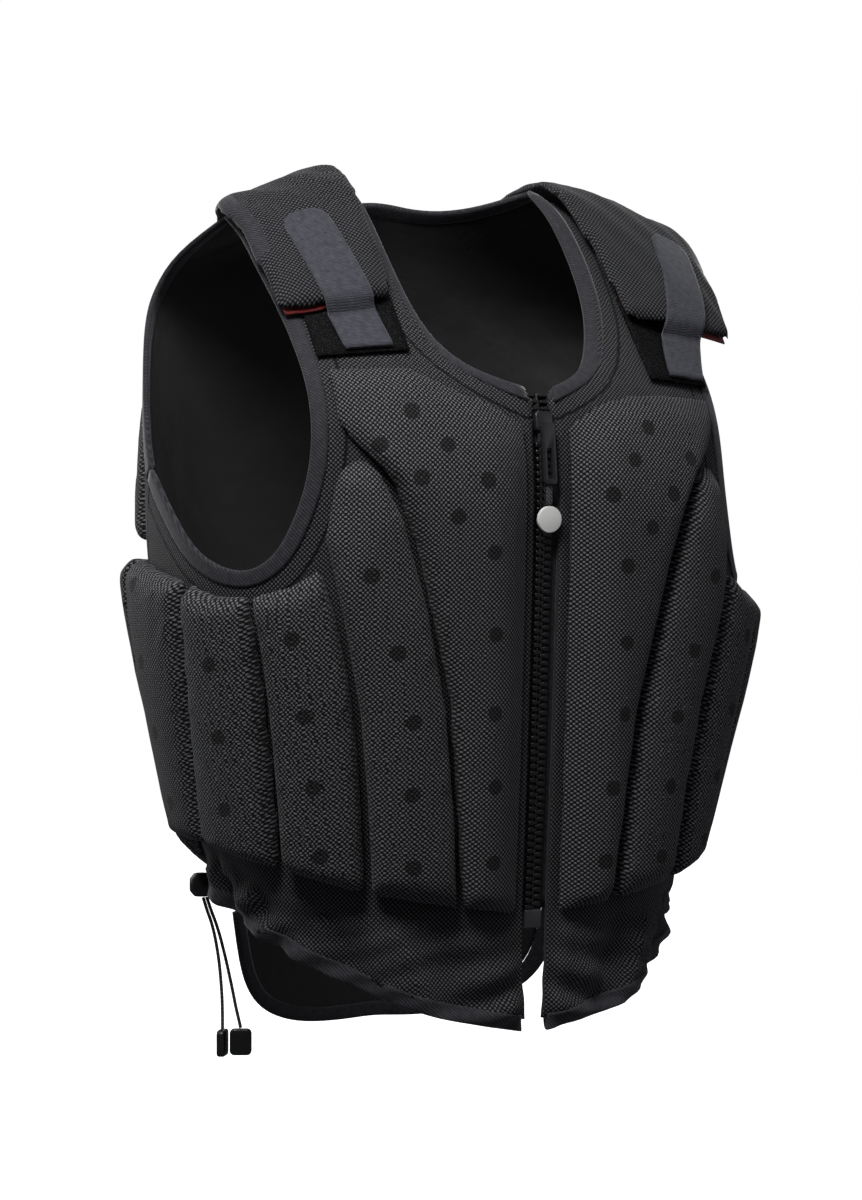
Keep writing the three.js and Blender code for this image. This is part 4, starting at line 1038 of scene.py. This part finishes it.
# Zip: a chunky moulded zip on two woven tapes, sewn under the front edges and closed up to its slider. Each
# tooth is one acetal block with a waist, gripping the tape's cord; the two rows are set half a pitch apart.
zip_low = 0.137
zip_slider = 0.643
zip_high = 0.686
tooth_pitch = 0.0043
chain_middle = -0.0012
teeth_reach = 0.0055
tape_edge_share = 0.3
tape_weave = tape_material("zip tape, woven polyester", "111113", "434349", 0.9)
for side in ("right", "left"):
    tape = soft_copy(f"zip_tape_{side}", f"woven_zip_tape_{side}")
    points = points_of(tape)
    under_teeth = np.abs(points[:, 0]) < teeth_reach
    points[under_teeth, 0] *= tape_edge_share
    tape.data.vertices.foreach_set("co", points.ravel())
    crease(tape, 50)
    finish_modifier(tape, "SUBSURF", levels=2, render_levels=2)
    tape.data.materials.append(tape_weave)
    lay_weave(tape)
    smooth_all(tape)

zip_alongs = np.linspace(zip_low, zip_high, 800)
zip_line = skin(0, zip_alongs, chain_middle)
zip_way = np.append(0, np.cumsum(np.linalg.norm(np.diff(zip_line, axis=0), axis=1)))


def tooth_mesh():
    """One tooth, reaching to +X past its place, with a waist behind its head."""
    bpy.ops.mesh.primitive_cube_add(size=1, location=(-0.0016, 0, 0), scale=(0.0036, 0.0026, 0.0036))
    tooth = bpy.context.object
    bpy.ops.object.transform_apply(location=True, rotation=True, scale=True)
    for reach, width in ((0.0008, 0.6), (0.0008, 1.5), (0.0008, 0.8)):
        front = max(face.center.x for face in tooth.data.polygons)
        bpy.ops.object.mode_set(mode="EDIT")
        bpy.ops.mesh.select_mode(type="FACE")
        bpy.ops.mesh.select_all(action="DESELECT")
        bpy.ops.object.mode_set(mode="OBJECT")
        for face in tooth.data.polygons:
            face.select = face.center.x > front - 1e-6
        bpy.ops.object.mode_set(mode="EDIT")
        bpy.ops.mesh.extrude_region_move(TRANSFORM_OT_translate={"value": (reach, 0, 0)})
        bpy.ops.transform.resize(value=(1, width, 0.95))
        bpy.ops.object.mode_set(mode="OBJECT")
    finish_modifier(
        tooth, "BEVEL", width=0.0003, segments=1, limit_method="ANGLE", angle_limit=math.radians(40),
    )
    mesh = tooth.data
    bpy.data.objects.remove(tooth)
    return mesh


tooth = tooth_mesh()


def zip_row(name, nodes, starts):
    """Rows of teeth joined in one piece. starts: each row's side, first and last place, and set-off."""
    teeth = []
    for side, low, high, away in starts:
        for way in np.arange(low, high, tooth_pitch):
            centre = np.array([np.interp(way, zip_way, zip_line[:, k]) for k in range(3)])
            ahead = np.array([np.interp(way + 0.004, zip_way, zip_line[:, k]) for k in range(3)])
            up = (ahead - centre) / np.linalg.norm(ahead - centre)
            right = np.array([-side, 0, 0])
            out = np.cross(np.array([1, 0, 0]), up)
            turned = Matrix(np.column_stack([right, up, -side * out]).tolist()).to_4x4()
            turned.translation = centre + np.array([side * away, 0, 0])
            mesh = tooth.copy()
            mesh.transform(turned)
            piece = bpy.data.objects.new(name, mesh)
            bpy.context.scene.collection.objects.link(piece)
            teeth.append(piece)
    bpy.ops.object.select_all(action="DESELECT")
    for piece in teeth:
        piece.select_set(True)
    bpy.context.view_layer.objects.active = teeth[0]
    bpy.ops.object.join()
    row = bpy.context.object
    row.name = name
    row.data.materials.append(black_plastic)
    bpy.ops.object.shade_smooth_by_angle(angle=math.radians(35))
    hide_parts(*nodes)
    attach(row, "root")


chain_start = 0.001
closed_end = np.interp(zip_slider, zip_alongs, zip_way) - 0.003
open_start = closed_end + 0.0185
open_end = zip_way[-1] - 0.001
closed_offset = 0.0018
open_offset = 0.0036
zip_row("zip_teeth_closed", ["zip_teeth"], [
    (-1, chain_start, closed_end, closed_offset), (1, chain_start + tooth_pitch / 2, closed_end, closed_offset),
])
for side, sign in (("right", -1), ("left", 1)):
    zip_row(f"zip_teeth_open_{side}", [f"zip_open_teeth_{side}"], [(sign, open_start, open_end, open_offset)])

# Slider, puller, cord link, end disc and box: the slider and its slotted puller are die-cast and enamelled
# black, the disc is a plain white moulding, and the box at the foot is grey.
enamel = plastic_material("zinc die-casting, enamelled black", "242427", 0.24, 0.0015)
white_plastic = plastic_material("acrylic, moulded, white", "e6e6e2", 0.3, 0.002)
grey_plastic = plastic_material("acetal, injection-moulded, grey", "3e3e41", 0.4, 0.001)
moulded_copy("zip_slider", "slider", 0.0012, enamel)
moulded_copy("zip_puller", "puller", 0.0005, enamel)
moulded_copy("zip_link", "puller_link", 0.0003, braided_cord)
moulded_copy("zip_box", "foot_box", 0.0006, grey_plastic)
moulded_copy("zip_disc", "end_disc", 0.0004, white_plastic)
